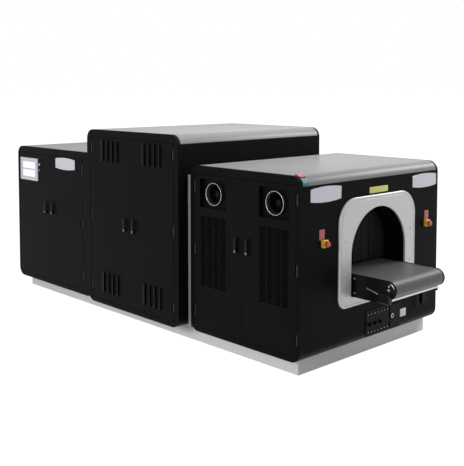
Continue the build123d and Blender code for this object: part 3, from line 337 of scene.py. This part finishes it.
# Each finish: two shades, roughness, grain and wear
finishValues = {
    "blackPowderCoat": {
        "dark": grey(0.003, 0.02), "light": grey(0.006, 0.02), "worn": grey(0.03),
        "roughness": 0.42, "roughSpread": 0.08, "grain": 0.10, "grainScale": 420.0, "edge": 0.003,
        "wear": 0.3, "dust": 0.02, "specular": 0.03,
    },
    "silverPaint": {
        "dark": grey(0.25, 0.01), "light": grey(0.28, 0.01), "worn": grey(0.55), "roughness": 0.30,
        "roughSpread": 0.06, "grain": 0.04, "grainScale": 520.0, "edge": 0.004, "wear": 0.25,
        "dust": 0.01, "metal": 0.06, "specular": 0.02,
    },
    "plinthPaint": {
        "dark": grey(0.80), "light": grey(0.88), "worn": grey(0.30), "roughness": 0.5,
        "roughSpread": 0.1, "grain": 0.08, "grainScale": 380.0, "edge": 0.004, "wear": 0.3,
        "dust": 0.05,
    },
    "bezelPaint": {
        "dark": grey(0.66), "light": grey(0.71), "worn": grey(0.85), "roughness": 0.32,
        "roughSpread": 0.06, "grain": 0.05, "grainScale": 480.0, "edge": 0.004, "wear": 0.8,
        "dust": 0.02, "metal": 0.2,
    },
    "jointGrey": {
        "dark": grey(0.26), "light": grey(0.32), "worn": grey(0.22), "roughness": 0.4,
        "roughSpread": 0.08, "grain": 0.06, "grainScale": 420.0, "edge": 0.003, "wear": 0.4,
        "dust": 0.04, "metal": 0.4,
    },
    "darkSteel": {
        "dark": grey(0.018), "light": grey(0.035), "worn": grey(0.09), "roughness": 0.38,
        "roughSpread": 0.1, "grain": 0.06, "grainScale": 500.0, "edge": 0.002, "wear": 0.6,
        "dust": 0.02, "metal": 0.5, "specular": 0.3,
    },
    "leverBlack": {
        "dark": grey(0.004), "light": grey(0.007), "worn": grey(0.06), "roughness": 0.34,
        "roughSpread": 0.1, "grain": 0.10, "grainScale": 600.0, "edge": 0.002, "wear": 0.6,
        "dust": 0.02, "specular": 0.16,
    },
    "machineGrey": {
        "dark": grey(0.26), "light": grey(0.32), "worn": grey(0.40), "roughness": 0.5,
        "roughSpread": 0.1, "grain": 0.10, "grainScale": 300.0, "edge": 0.004, "wear": 0.5,
        "dust": 0.15,
    },
    "linerBlack": {
        "dark": grey(0.003), "light": grey(0.006), "worn": grey(0.015), "roughness": 0.6,
        "roughSpread": 0.1, "grain": 0.10, "grainScale": 300.0, "edge": 0.003, "wear": 0.3,
        "dust": 0.02, "specular": 0.03,
    },
    "bareSteel": {
        "dark": grey(0.42), "light": grey(0.58), "worn": grey(0.75), "roughness": 0.34,
        "roughSpread": 0.12, "grain": 0.06, "grainScale": 500.0, "edge": 0.002, "wear": 0.5,
        "dust": 0.02, "metal": 1.0,
    },
    "blackPlastic": {
        "dark": grey(0.003), "light": grey(0.005), "worn": grey(0.02), "roughness": 0.45,
        "roughSpread": 0.08, "grain": 0.12, "grainScale": 700.0, "edge": 0.002, "wear": 0.3,
        "dust": 0.01, "specular": 0.06,
    },
    "platePaint": {
        "dark": (0.62, 0.62, 0.69, 1), "light": (0.70, 0.70, 0.77, 1), "worn": grey(0.75),
        "roughness": 0.28, "roughSpread": 0.06, "grain": 0.03, "grainScale": 500.0, "edge": 0.002,
        "wear": 0.4, "dust": 0.01, "metal": 0.25,
    },
    "buttonWhite": {
        "dark": grey(0.68), "light": grey(0.76), "worn": grey(0.55), "roughness": 0.25,
        "roughSpread": 0.05, "grain": 0.03, "grainScale": 700.0, "edge": 0.001, "wear": 0.2,
        "dust": 0.02, "coat": 0.3,
    },
    "stopYellow": {
        "dark": (0.72, 0.46, 0.02, 1), "light": (0.84, 0.58, 0.03, 1), "worn": (0.9, 0.7, 0.2, 1),
        "roughness": 0.3, "roughSpread": 0.05, "grain": 0.05, "grainScale": 700.0, "edge": 0.002,
        "wear": 0.3, "dust": 0.02, "coat": 0.2,
    },
    "stopRed": {
        "dark": (0.60, 0.025, 0.012, 1), "light": (0.72, 0.04, 0.018, 1),
        "worn": (0.8, 0.1, 0.06, 1), "roughness": 0.24, "roughSpread": 0.05, "grain": 0.03,
        "grainScale": 700.0, "edge": 0.002, "wear": 0.3, "dust": 0.02, "coat": 0.4,
    },
    "labelYellow": {
        "dark": (0.74, 0.78, 0.17, 1), "light": (0.84, 0.86, 0.30, 1), "worn": (0.9, 0.9, 0.6, 1),
        "roughness": 0.35, "roughSpread": 0.06, "grain": 0.03, "grainScale": 600.0, "edge": 0.001,
        "wear": 0.2, "dust": 0.01,
    },
    "labelRed": {
        "dark": (0.46, 0.09, 0.12, 1), "light": (0.58, 0.14, 0.18, 1), "worn": (0.6, 0.3, 0.3, 1),
        "roughness": 0.35, "roughSpread": 0.06, "grain": 0.03, "grainScale": 600.0, "edge": 0.001,
        "wear": 0.2, "dust": 0.01,
    },
    "labelWhite": {
        "dark": grey(0.70), "light": grey(0.80), "worn": grey(0.6), "roughness": 0.4,
        "roughSpread": 0.06, "grain": 0.03, "grainScale": 600.0, "edge": 0.001, "wear": 0.2,
        "dust": 0.01,
    },
    "polishedRim": {
        "dark": grey(0.52), "light": grey(0.64), "worn": grey(0.8), "roughness": 0.28,
        "roughSpread": 0.08, "grain": 0.02, "grainScale": 500.0, "edge": 0.001, "wear": 0.2,
        "dust": 0.01, "metal": 1.0,
    },
    "leadRubber": {
        "dark": grey(0.010), "light": grey(0.016), "worn": grey(0.03), "roughness": 0.6,
        "roughSpread": 0.1, "grain": 0.25, "grainScale": 260.0, "edge": 0.002, "wear": 0.3,
        "dust": 0.03, "specular": 0.12,
    },
}
paints = {name: newPaint(name, values) for name, values in finishValues.items()}

brushValues = {"scale": 9.0, "depth": 0.35}


def brushTops(material, values):
    # the covers' paint shows faint lines along the machine in its roughness
    tree = material.node_tree
    surface = tree.nodes["Principled BSDF"]
    lines = placeGroup(tree, brushGroup, Scale=values["scale"]).outputs["Lines"]
    wasRough = surface.inputs["Roughness"].links[0].from_socket
    more = addMath(tree, "MULTIPLY", addMath(tree, "SUBTRACT", lines, 0.5), values["depth"])
    tree.links.new(addMath(tree, "ADD", wasRough, more), surface.inputs["Roughness"])


brushTops(paints["silverPaint"], brushValues)

beltValues = {
    "dark": grey(0.095), "light": grey(0.118), "cloudScale": 3.0,
    "scuff": grey(0.16), "scuffScale": 5.0, "scuffStretch": (0.05, 16.0, 0.05),
    "scuffFrom": 0.52, "scuffGain": 1.2,
    "weave": 0.0016, "weaveDepth": 0.0003, "weaveStrength": 0.3, "roughness": 0.42, "specular": 0.25,
}


def makeBeltMaterial(values):
    # weave: sine of x times sine of y; long scuffs lie along the belt where the noise is high
    material = bpy.data.materials.new("beltRubber")
    material.use_nodes = True
    tree = material.node_tree
    surface = tree.nodes["Principled BSDF"]
    place = tree.nodes.new("ShaderNodeTexCoord").outputs["Object"]
    split = tree.nodes.new("ShaderNodeSeparateXYZ")
    tree.links.new(place, split.inputs[0])
    turns = 2 * math.pi / values["weave"]
    waves = [addMath(tree, "SINE", addMath(tree, "MULTIPLY", split.outputs[axis], turns)) for axis in "XY"]
    weave = addMath(tree, "MULTIPLY", waves[0], waves[1])
    scuffs = addNoise(tree, place, values["scuffScale"], 6, values["scuffStretch"])
    cloud = addNoise(tree, place, values["cloudScale"], 4)
    shade = mixColours(tree, cloud, values["dark"], values["light"])
    above = addMath(tree, "SUBTRACT", scuffs, values["scuffFrom"], clamp=True)
    marks = addMath(tree, "MULTIPLY", above, values["scuffGain"], clamp=True)
    tree.links.new(mixColours(tree, marks, shade, values["scuff"]), surface.inputs["Base Color"])
    surface.inputs["Roughness"].default_value = values["roughness"]
    surface.inputs["Specular IOR Level"].default_value = values["specular"]
    bump = tree.nodes.new("ShaderNodeBump")
    bump.inputs["Strength"].default_value = values["weaveStrength"]
    bump.inputs["Distance"].default_value = values["weaveDepth"]
    tree.links.new(weave, bump.inputs["Height"])
    tree.links.new(bump.outputs[0], surface.inputs["Normal"])
    return material


screenValues = {"glow": (0.86, 0.93, 1.0, 1), "deep": (0.55, 0.72, 0.92, 1), "strength": 0.75,
                "rowScale": 9.0, "rowStretch": (0.6, 1.0, 4.0), "roughness": 0.12}


def makeScreenMaterial(values):
    # a lit window: soft rows of two blues, glowing behind glossy glass
    material = bpy.data.materials.new("screenGlass")
    material.use_nodes = True
    tree = material.node_tree
    surface = tree.nodes["Principled BSDF"]
    place = tree.nodes.new("ShaderNodeTexCoord").outputs["Object"]
    rows = addNoise(tree, place, values["rowScale"], 2, values["rowStretch"])
    colour = mixColours(tree, rows, values["deep"], values["glow"])
    tree.links.new(colour, surface.inputs["Base Color"])
    tree.links.new(colour, surface.inputs["Emission Color"])
    surface.inputs["Emission Strength"].default_value = values["strength"]
    surface.inputs["Roughness"].default_value = values["roughness"]
    return material


# lens colours: dark is the painted shade in the ribs' valleys, light the painted highlight on their crests
lensValues = {
    "lampRed": {"dark": (0.26, 0.002, 0.012, 1), "light": (0.72, 0.07, 0.11, 1)},
    "lampBlue": {"dark": (0.003, 0.055, 0.085, 1), "light": (0.08, 0.38, 0.46, 1)},
}
lensForm = {"ribPitch": 0.0052, "ribDepth": 0.0008, "ribStrength": 0.6, "roughness": 0.22, "coat": 0.1}


def makeLensMaterial(name, values, form):
    # ribs beside each other along Y: a sine of y, with a painted shade in the valleys and a painted highlight
    # on the crests
    material = bpy.data.materials.new(name)
    material.use_nodes = True
    tree = material.node_tree
    surface = tree.nodes["Principled BSDF"]
    place = tree.nodes.new("ShaderNodeTexCoord").outputs["Object"]
    split = tree.nodes.new("ShaderNodeSeparateXYZ")
    tree.links.new(place, split.inputs[0])
    turns = 2 * math.pi / form["ribPitch"]
    rib = addMath(tree, "SINE", addMath(tree, "MULTIPLY", split.outputs["Y"], turns))
    # painted shade and highlight: the colour runs from dark in the rib valleys to light on the crests
    paintedRibLight = addMath(tree, "MULTIPLY_ADD", rib, 0.5, 0.5)
    tree.links.new(mixColours(tree, paintedRibLight, values["dark"], values["light"]), surface.inputs["Base Color"])
    surface.inputs["Roughness"].default_value = form["roughness"]
    surface.inputs["Coat Weight"].default_value = form["coat"]
    bump = tree.nodes.new("ShaderNodeBump")
    bump.inputs["Strength"].default_value = form["ribStrength"]
    bump.inputs["Distance"].default_value = form["ribDepth"]
    tree.links.new(rib, bump.inputs["Height"])
    tree.links.new(bump.outputs[0], surface.inputs["Normal"])
    return material


beltRubber = makeBeltMaterial(beltValues)
screenGlass = makeScreenMaterial(screenValues)
lenses = {name: makeLensMaterial(name, values, lensForm) for name, values in lensValues.items()}

# Which finish each slot of the record takes
slotFinishes = {
    "black_paint": paints["blackPowderCoat"], "silver_paint": paints["silverPaint"],
    "plinth_paint": paints["plinthPaint"], "bezel_paint": paints["bezelPaint"],
    "lever_black": paints["leverBlack"], "machine_grey": paints["machineGrey"],
    "liner_grey": paints["linerBlack"], "bare_steel": paints["bareSteel"],
    "black_plastic": paints["blackPlastic"], "plate_white": paints["platePaint"],
    "button_white": paints["buttonWhite"], "stop_yellow": paints["stopYellow"],
    "stop_red": paints["stopRed"], "lamp_red": lenses["lampRed"], "lamp_blue": lenses["lampBlue"],
    "belt_rubber": beltRubber, "screen_glass": screenGlass,
}

# Nodes with a finish of their own
nodeFinishes = {"module_joints": paints["jointGrey"], "hinge_pins": paints["darkSteel"]}


def dressNodes():
    for name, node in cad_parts.items():
        for holder in node.material_slots:
            slotName = holder.material.name.split(".")[0]
            holder.material = nodeFinishes.get(name, slotFinishes[slotName])


dressNodes()
print("finishes made and given to the nodes")


# New pieces: grids of points worked out as arrays
def makePiece(name, grids, material, body, smoothAngle=35):
    # each grid is (points, closed along rows, closed along columns); every cell becomes a face
    points, faces, start = [], [], 0
    for grid, wrapRows, wrapColumns in grids:
        rows, columns = grid.shape[:2]
        index = np.arange(rows * columns).reshape(rows, columns) + start
        if wrapRows:
            index = np.concatenate([index, index[:1]])
        if wrapColumns:
            index = np.concatenate([index, index[:, :1]], axis=1)
        corners = [index[:-1, :-1], index[:-1, 1:], index[1:, 1:], index[1:, :-1]]
        faces.append(np.stack(corners, axis=-1).reshape(-1, 4))
        points.append(grid.reshape(-1, 3))
        start += rows * columns
    mesh = bpy.data.meshes.new(name)
    mesh.from_pydata(np.concatenate(points), [], np.concatenate(faces).tolist())
    work = bmesh.new()
    work.from_mesh(mesh)
    bmesh.ops.remove_doubles(work, verts=work.verts, dist=1e-6)
    bmesh.ops.recalc_face_normals(work, faces=work.faces)
    work.to_mesh(mesh)
    work.free()
    mesh.polygons.foreach_set("use_smooth", np.ones(len(mesh.polygons), bool))
    mesh.set_sharp_from_angle(angle=math.radians(smoothAngle))
    mesh.materials.append(material)
    piece = bpy.data.objects.new(name, mesh)
    bpy.context.scene.collection.objects.link(piece)
    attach(piece, body)
    return piece


def turnedGrid(profile, centre, axis, segments=48):
    # point = centre + axis * height + radius * (cosine, sine) across the axis
    axis = np.array(axis, float)
    across = np.array((0.0, 0.0, 1.0)) if abs(axis[2]) < 0.9 else np.array((1.0, 0.0, 0.0))
    other = np.cross(axis, across)
    angle = np.linspace(0, 2 * math.pi, segments, endpoint=False)
    profile = np.array(profile, float)
    spoke = np.cos(angle)[:, None] * across + np.sin(angle)[:, None] * other
    return np.array(centre) + profile[:, 1, None, None] * axis + profile[:, 0, None, None] * spoke


def plateGrid(size, corner, thickness, rounding, centre, along, up, cornerSteps=6):
    # rows are the same rounded rectangle, set in and raised:
    # the middle of the back, its edge, the wall, the rounded edge, the middle of the face
    along, up = np.array(along, float), np.array(up, float)
    out = np.cross(along, up)
    quarter = np.linspace(0, math.pi / 2, 4)
    insets = np.concatenate([[0], rounding * (1 - np.cos(quarter))])
    heights = np.concatenate([[0], thickness - rounding + rounding * np.sin(quarter)])
    turn = np.linspace(0, math.pi / 2, cornerSteps)
    angle = np.concatenate([turn + k * math.pi / 2 for k in range(4)])
    side = np.repeat([[1, 1], [-1, 1], [-1, -1], [1, -1]], cornerSteps, axis=0)
    rows = [(side * 0.0, 0.0)]
    for inset, height in zip(insets, heights):
        radius = max(corner - inset, 0)
        reach = np.array(size) / 2 - inset - radius
        flat = side * np.maximum(reach, 0) + radius * np.stack([np.cos(angle), np.sin(angle)], axis=1)
        rows.append((flat, height))
    rows.append((side * 0.0, thickness))
    return np.array([
        np.array(centre) + flat[:, :1] * along + flat[:, 1:] * up + height * out for flat, height in rows
    ])


def screwGrids(places, axis, radius, height):
    # a domed head with a round socket, the same turned grid at every place
    rings = [(0.0, 0.0), (radius, 0.0), (radius, height * 0.45), (radius * 0.8, height * 0.9),
             (radius * 0.5, height), (radius * 0.5, height * 0.35), (0.0, height * 0.35)]
    return [(turnedGrid(rings, place, axis, segments=12), False, True) for place in places]


def at(node):
    low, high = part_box(node)
    return np.array(low), np.array(high)


entryFaceX = at("entry_end_panels")[1][0]
exitFaceX = at("exit_end_panels")[0][0]
tunnelMiddle = 0.040   # the tunnel's middle line in Y

# Rims of the two fans in the entry doors
rimValues = {"outer": 0.103, "inner": 0.0985, "rise": 0.030, "sunk": 0.004, "steps": 8, "segments": 72}


def addFanRims(values):
    # a thin tube's wall with a round lip, turned about the fan's axis
    turn = np.linspace(math.pi, 0, values["steps"])
    middle = (values["outer"] + values["inner"]) / 2
    half = (values["outer"] - values["inner"]) / 2
    radii = middle + half * np.cos(turn)
    for side in ("left", "right"):
        low, high = at(f"{side}_fan")
        centre = (low + high) / 2
        centre[1] = low[1]
        profile = np.stack([radii, values["rise"] - half + half * np.sin(turn)], axis=1)
        foot = [[values["outer"], -values["sunk"]], [values["inner"], -values["sunk"]]]
        profile = np.concatenate([profile, foot])
        grid = turnedGrid(profile, centre, (0, -1, 0), values["segments"])
        makePiece(f"{side}_fan_rim", [(grid, True, True)], paints["polishedRim"],
                  f"entry_{side}_door")


addFanRims(rimValues)
print("fan rims added")

# Bare coloured labels on the entry end
labelValues = {
    "upper_label": {"finish": "labelYellow", "slot": "stop_yellow", "y": 0.047, "z": 1.5075,
                    "size": (0.270, 0.055), "corner": 0.003},
    "left_stop_label": {"finish": "labelRed", "slot": "stop_red", "y": -0.7325, "z": 1.194,
                        "size": (0.066, 0.088), "corner": 0.004},
    "right_stop_label": {"finish": "labelRed", "slot": "stop_red", "y": 0.8105, "z": 1.194,
                         "size": (0.066, 0.088), "corner": 0.004},
    "lower_label": {"finish": "labelWhite", "slot": "plate_white", "y": 0.4430, "z": 0.314,
                    "size": (0.091, 0.074), "corner": 0.003},
}
labelForm = {"thickness": 0.0012, "rounding": 0.0004}


def addLabels(labels, form):
    # a rounded rectangle on the entry face, with a small rounded edge
    for name, values in labels.items():
        grid = plateGrid(values["size"], values["corner"], form["thickness"], form["rounding"],
                         (entryFaceX, values["y"], values["z"]), (0, 1, 0), (0, 0, 1))
        makePiece(name, [(grid, False, True)], paints[values["finish"]], "base")


addLabels(labelValues, labelForm)

# Upright pull bar beside the right-hand box
barValues = {"y": 0.654, "low": 0.326, "high": 0.464, "radius": 0.005, "stand": 0.022, "bendShare": 0.6,
             "bendSteps": 7, "sides": 16}


def addPullBar(values):
    # a round rod carried along a path: out of the face, up, and back in, with quarter turns between
    bend = values["stand"] * values["bendShare"]
    turn = np.linspace(0, math.pi / 2, values["bendSteps"])
    out = values["stand"] - bend + bend * np.sin(turn)
    lift = bend * (1 - np.cos(turn))
    pathX = np.concatenate([[0.0], out, out[::-1], [0.0]])
    low, high = values["low"], values["high"]
    pathZ = np.concatenate([[low], low + lift, high - lift[::-1], [high]])
    path = np.stack([entryFaceX + pathX, np.full_like(pathX, values["y"]), pathZ], axis=1)
    way = np.gradient(path, axis=0)
    way /= np.linalg.norm(way, axis=1)[:, None]
    side = np.array((0.0, 1.0, 0.0))
    across = np.cross(way, side)
    angle = np.linspace(0, 2 * math.pi, values["sides"], endpoint=False)
    ring = np.cos(angle)[None, :, None] * side + np.sin(angle)[None, :, None] * across[:, None, :]
    grid = path[:, None, :] + values["radius"] * ring
    ends = [np.repeat(point[None, None], values["sides"], axis=1) for point in (path[0], path[-1])]
    grid = np.concatenate([ends[0], grid, ends[1]])
    makePiece("pull_bar", [(grid, False, True)], paints["darkSteel"], "base", 60)


addPullBar(barValues)
print("labels and pull bar added")

# Lead curtains inside both mouths of the tunnel
curtainValues = {
    "inset": 0.214, "middle": tunnelMiddle, "half": 0.392, "spring": 0.958, "foot": 0.815,
    "headroom": 0.008, "shortest": 0.05,      # below the arch, and the least length of a strip
    "strips": 13, "gap": 0.0008, "lap": 0.003, "thickness": 0.0025,
    "wave": 0.002, "waveTurn": 2.4, "stripTurn": 1.9, "curl": 0.0035, "curlAtTop": 0.3,
    "rows": 26, "columns": 7,
    "entryPhase": 0.4, "exitPhase": 1.7,
}


def curtainTop(y, values):
    # the tunnel's arch: a half circle over the springing line
    return values["spring"] + np.sqrt(np.maximum(values["half"] ** 2 - (y - values["middle"]) ** 2, 0.0))


def addCurtain(name, planeX, values, phase):
    # each strip: y goes across it, z falls from the arch to the foot, and x waves and curls more
    # towards the foot
    width = 2 * values["half"] / values["strips"]
    grids, area = [], 0.0
    down = np.linspace(0, 1, values["rows"])[:, None]
    for strip in range(values["strips"]):
        left = values["middle"] - values["half"] + strip * width + values["gap"] / 2
        across = np.linspace(0, 1, values["columns"])[None, :]
        y = left + across * (width - values["gap"])
        top = np.maximum(curtainTop(y, values) - values["headroom"], values["foot"] + values["shortest"])
        z = top + (values["foot"] - top) * down
        turn = phase + values["stripTurn"] * strip + values["waveTurn"] * down
        swing = values["wave"] * np.sin(turn) * down
        share = values["curlAtTop"] + (1 - values["curlAtTop"]) * down
        curl = values["curl"] * np.sin(math.pi * across) * share
        lap = values["lap"] * (strip % 2)
        x = planeX + lap + swing + curl * math.cos(phase + strip)
        grids.append((np.stack([x, y + 0 * x, z + 0 * x], axis=-1), False, False))
        area += float(np.mean(top - values["foot"]) * (width - values["gap"]))
    piece = makePiece(name, grids, paints["leadRubber"], "base", 60)
    solid = piece.modifiers.new("thickness", "SOLIDIFY")
    solid.thickness = values["thickness"]
    solid.offset = 0.0


addCurtain("entry_curtain", entryFaceX - curtainValues["inset"], curtainValues,
           curtainValues["entryPhase"])
addCurtain("exit_curtain", exitFaceX + curtainValues["inset"], curtainValues,
           curtainValues["exitPhase"])
print("curtains hung")

# Screws on the bezels
screwValues = {"radius": 0.009, "height": 0.006, "bezelRows": (0.62, 0.813, 1.10), "bezelHalf": 0.476}


def addScrews(values):
    # three screws up each side of both bezels
    columns = [tunnelMiddle + side * values["bezelHalf"] for side in (-1, 1)]
    for end, way in (("entry", 1), ("exit", -1)):
        low, high = at(f"{end}_bezel")
        faceX = high[0] if way > 0 else low[0]
        places = [(faceX, y, z) for y in columns for z in values["bezelRows"]]
        makePiece(f"{end}_bezel_screws", screwGrids(places, (way, 0, 0), values["radius"], values["height"]),
                  paints["bareSteel"], "base", 40)


addScrews(screwValues)

# Bolts, guard and strip on the conveyor's door-side plate
plateValues = {
    "bolts": ((2.282, 0.765), (2.282, 0.638), (2.641, 0.758)), "boltRadius": 0.008, "boltHeight": 0.005,
    "guardRadius": 0.055, "guardWidth": 0.009, "guardFrom": 12, "guardTo": 84, "guardRise": 0.003,
    "guardSteps": 25,
    "stripLength": 0.138, "stripWidth": 0.011, "stripRise": 0.0015, "stripTurn": -15,
    "stripCorner": 0.003, "stripRounding": 0.0004,
    "stripFromDrive": 0.074, "stripFromRail": 0.010, "stripZ": 0.690,
}


def addPlateFittings(values):
    railY = at("side_rails")[0][1]
    bolts = [(x, railY, z) for x, z in values["bolts"]]
    makePiece("side_plate_bolts", screwGrids(bolts, (0, -1, 0), values["boltRadius"], values["boltHeight"]),
              paints["bareSteel"], "base", 40)
    # the guard: a flat band along an arc about the roller's axis, drawn to a point at both ends
    low, high = at("nose_roller")
    middleX, middleZ = (low[0] + high[0]) / 2, (low[2] + high[2]) / 2
    steps = values["guardSteps"]
    angle = np.radians(np.linspace(values["guardFrom"], values["guardTo"], steps))
    taper = np.sqrt(np.abs(np.sin(np.linspace(0, math.pi, steps))))
    half = values["guardWidth"] / 2 * taper
    section = [(-1, 0.0), (-1, 0.7), (-0.6, 1.0), (0.6, 1.0), (1, 0.7), (1, 0.0)]
    rows = []
    for across, rise in section:
        radius = values["guardRadius"] + across * half
        rows.append(np.stack([middleX + radius * np.cos(angle),
                              railY - rise * values["guardRise"] * taper,
                              middleZ + radius * np.sin(angle)], axis=1))
    makePiece("nose_guard", [(np.array(rows), True, False)], paints["polishedRim"], "base", 40)
    # the strip lies on the torque arm, which is the lowest and farthest part of the drive from the nose
    motorLow = at("drive_motor")[0]
    turn = math.radians(values["stripTurn"])
    centre = (motorLow[0] + values["stripFromDrive"], railY - values["stripFromRail"], values["stripZ"])
    size = (values["stripLength"], values["stripWidth"])
    grid = plateGrid(size, values["stripCorner"], values["stripRise"], values["stripRounding"], centre,
                     (math.cos(turn), 0, math.sin(turn)), (-math.sin(turn), 0, math.cos(turn)))
    makePiece("torque_arm_strip", [(grid, False, True)], paints["bareSteel"], "base")


addPlateFittings(plateValues)

# Bright contacts and the port's collar on the service panel, and collars round the levers' lock barrels
panelValues = {
    "rise": 0.011, "rows": (0.236, 0.396), "middle": 0.042, "pitch": 0.048, "count": 7,
    "radius": 0.0045, "height": 0.002,
    "collar": (0.253, 0.323), "collarOuter": 0.0195, "collarInner": 0.014, "collarFrom": 0.018,
    "collarSunk": 0.004, "collarRise": 0.0015, "collarEdge": 0.001,
}
lockValues = {"outer": 0.0115, "inner": 0.0091, "rise": 0.0026, "edge": 0.0008, "sunk": 0.0005,
              "hubBelow": 0.003, "z": 0.985}


def addContacts(values):
    # a row of small domes on each row of sockets, and a bright collar on the round port
    y = values["middle"] + values["pitch"] * (np.arange(values["count"]) - (values["count"] - 1) / 2)
    places = [(entryFaceX + values["rise"], across, z) for z in values["rows"] for across in y]
    makePiece("service_contacts", screwGrids(places, (1, 0, 0), values["radius"], values["height"]),
              paints["bareSteel"], "base", 40)
    outer, inner, edge = values["collarOuter"], values["collarInner"], values["collarEdge"]
    sunk, rise = -values["collarSunk"], values["collarRise"]
    profile = [(outer, sunk), (outer, rise - edge), (outer - edge, rise), (inner + edge, rise),
               (inner, rise - edge), (inner, sunk)]
    centre = (entryFaceX + values["collarFrom"], *values["collar"])
    makePiece("port_collar", [(turnedGrid(profile, centre, (1, 0, 0)), True, True)], paints["bareSteel"],
              "base", 40)


def addLocks(values):
    # a collar turned round the lock barrel, on the hub's face that lies below the barrel's
    outer, inner, rise, sunk = values["outer"], values["inner"], values["rise"], -values["sunk"]
    profile = [(outer, sunk), (outer, rise / 2), (outer - values["edge"], rise), (inner, rise), (inner, sunk)]
    for cabinet in ("entry", "centre", "exit"):
        for side in ("left", "right"):
            low, high = at(f"{cabinet}_{side}_lever")
            centre = ((low[0] + high[0]) / 2, low[1] + values["hubBelow"], values["z"])
            collar = turnedGrid(profile, centre, (0, -1, 0), segments=32)
            makePiece(f"{cabinet}_{side}_lock", [(collar, True, True)],
                      paints["bareSteel"], f"{cabinet}_{side}_lever")


addContacts(panelValues)
addLocks(lockValues)
print("screws, bolts, contacts and locks added")
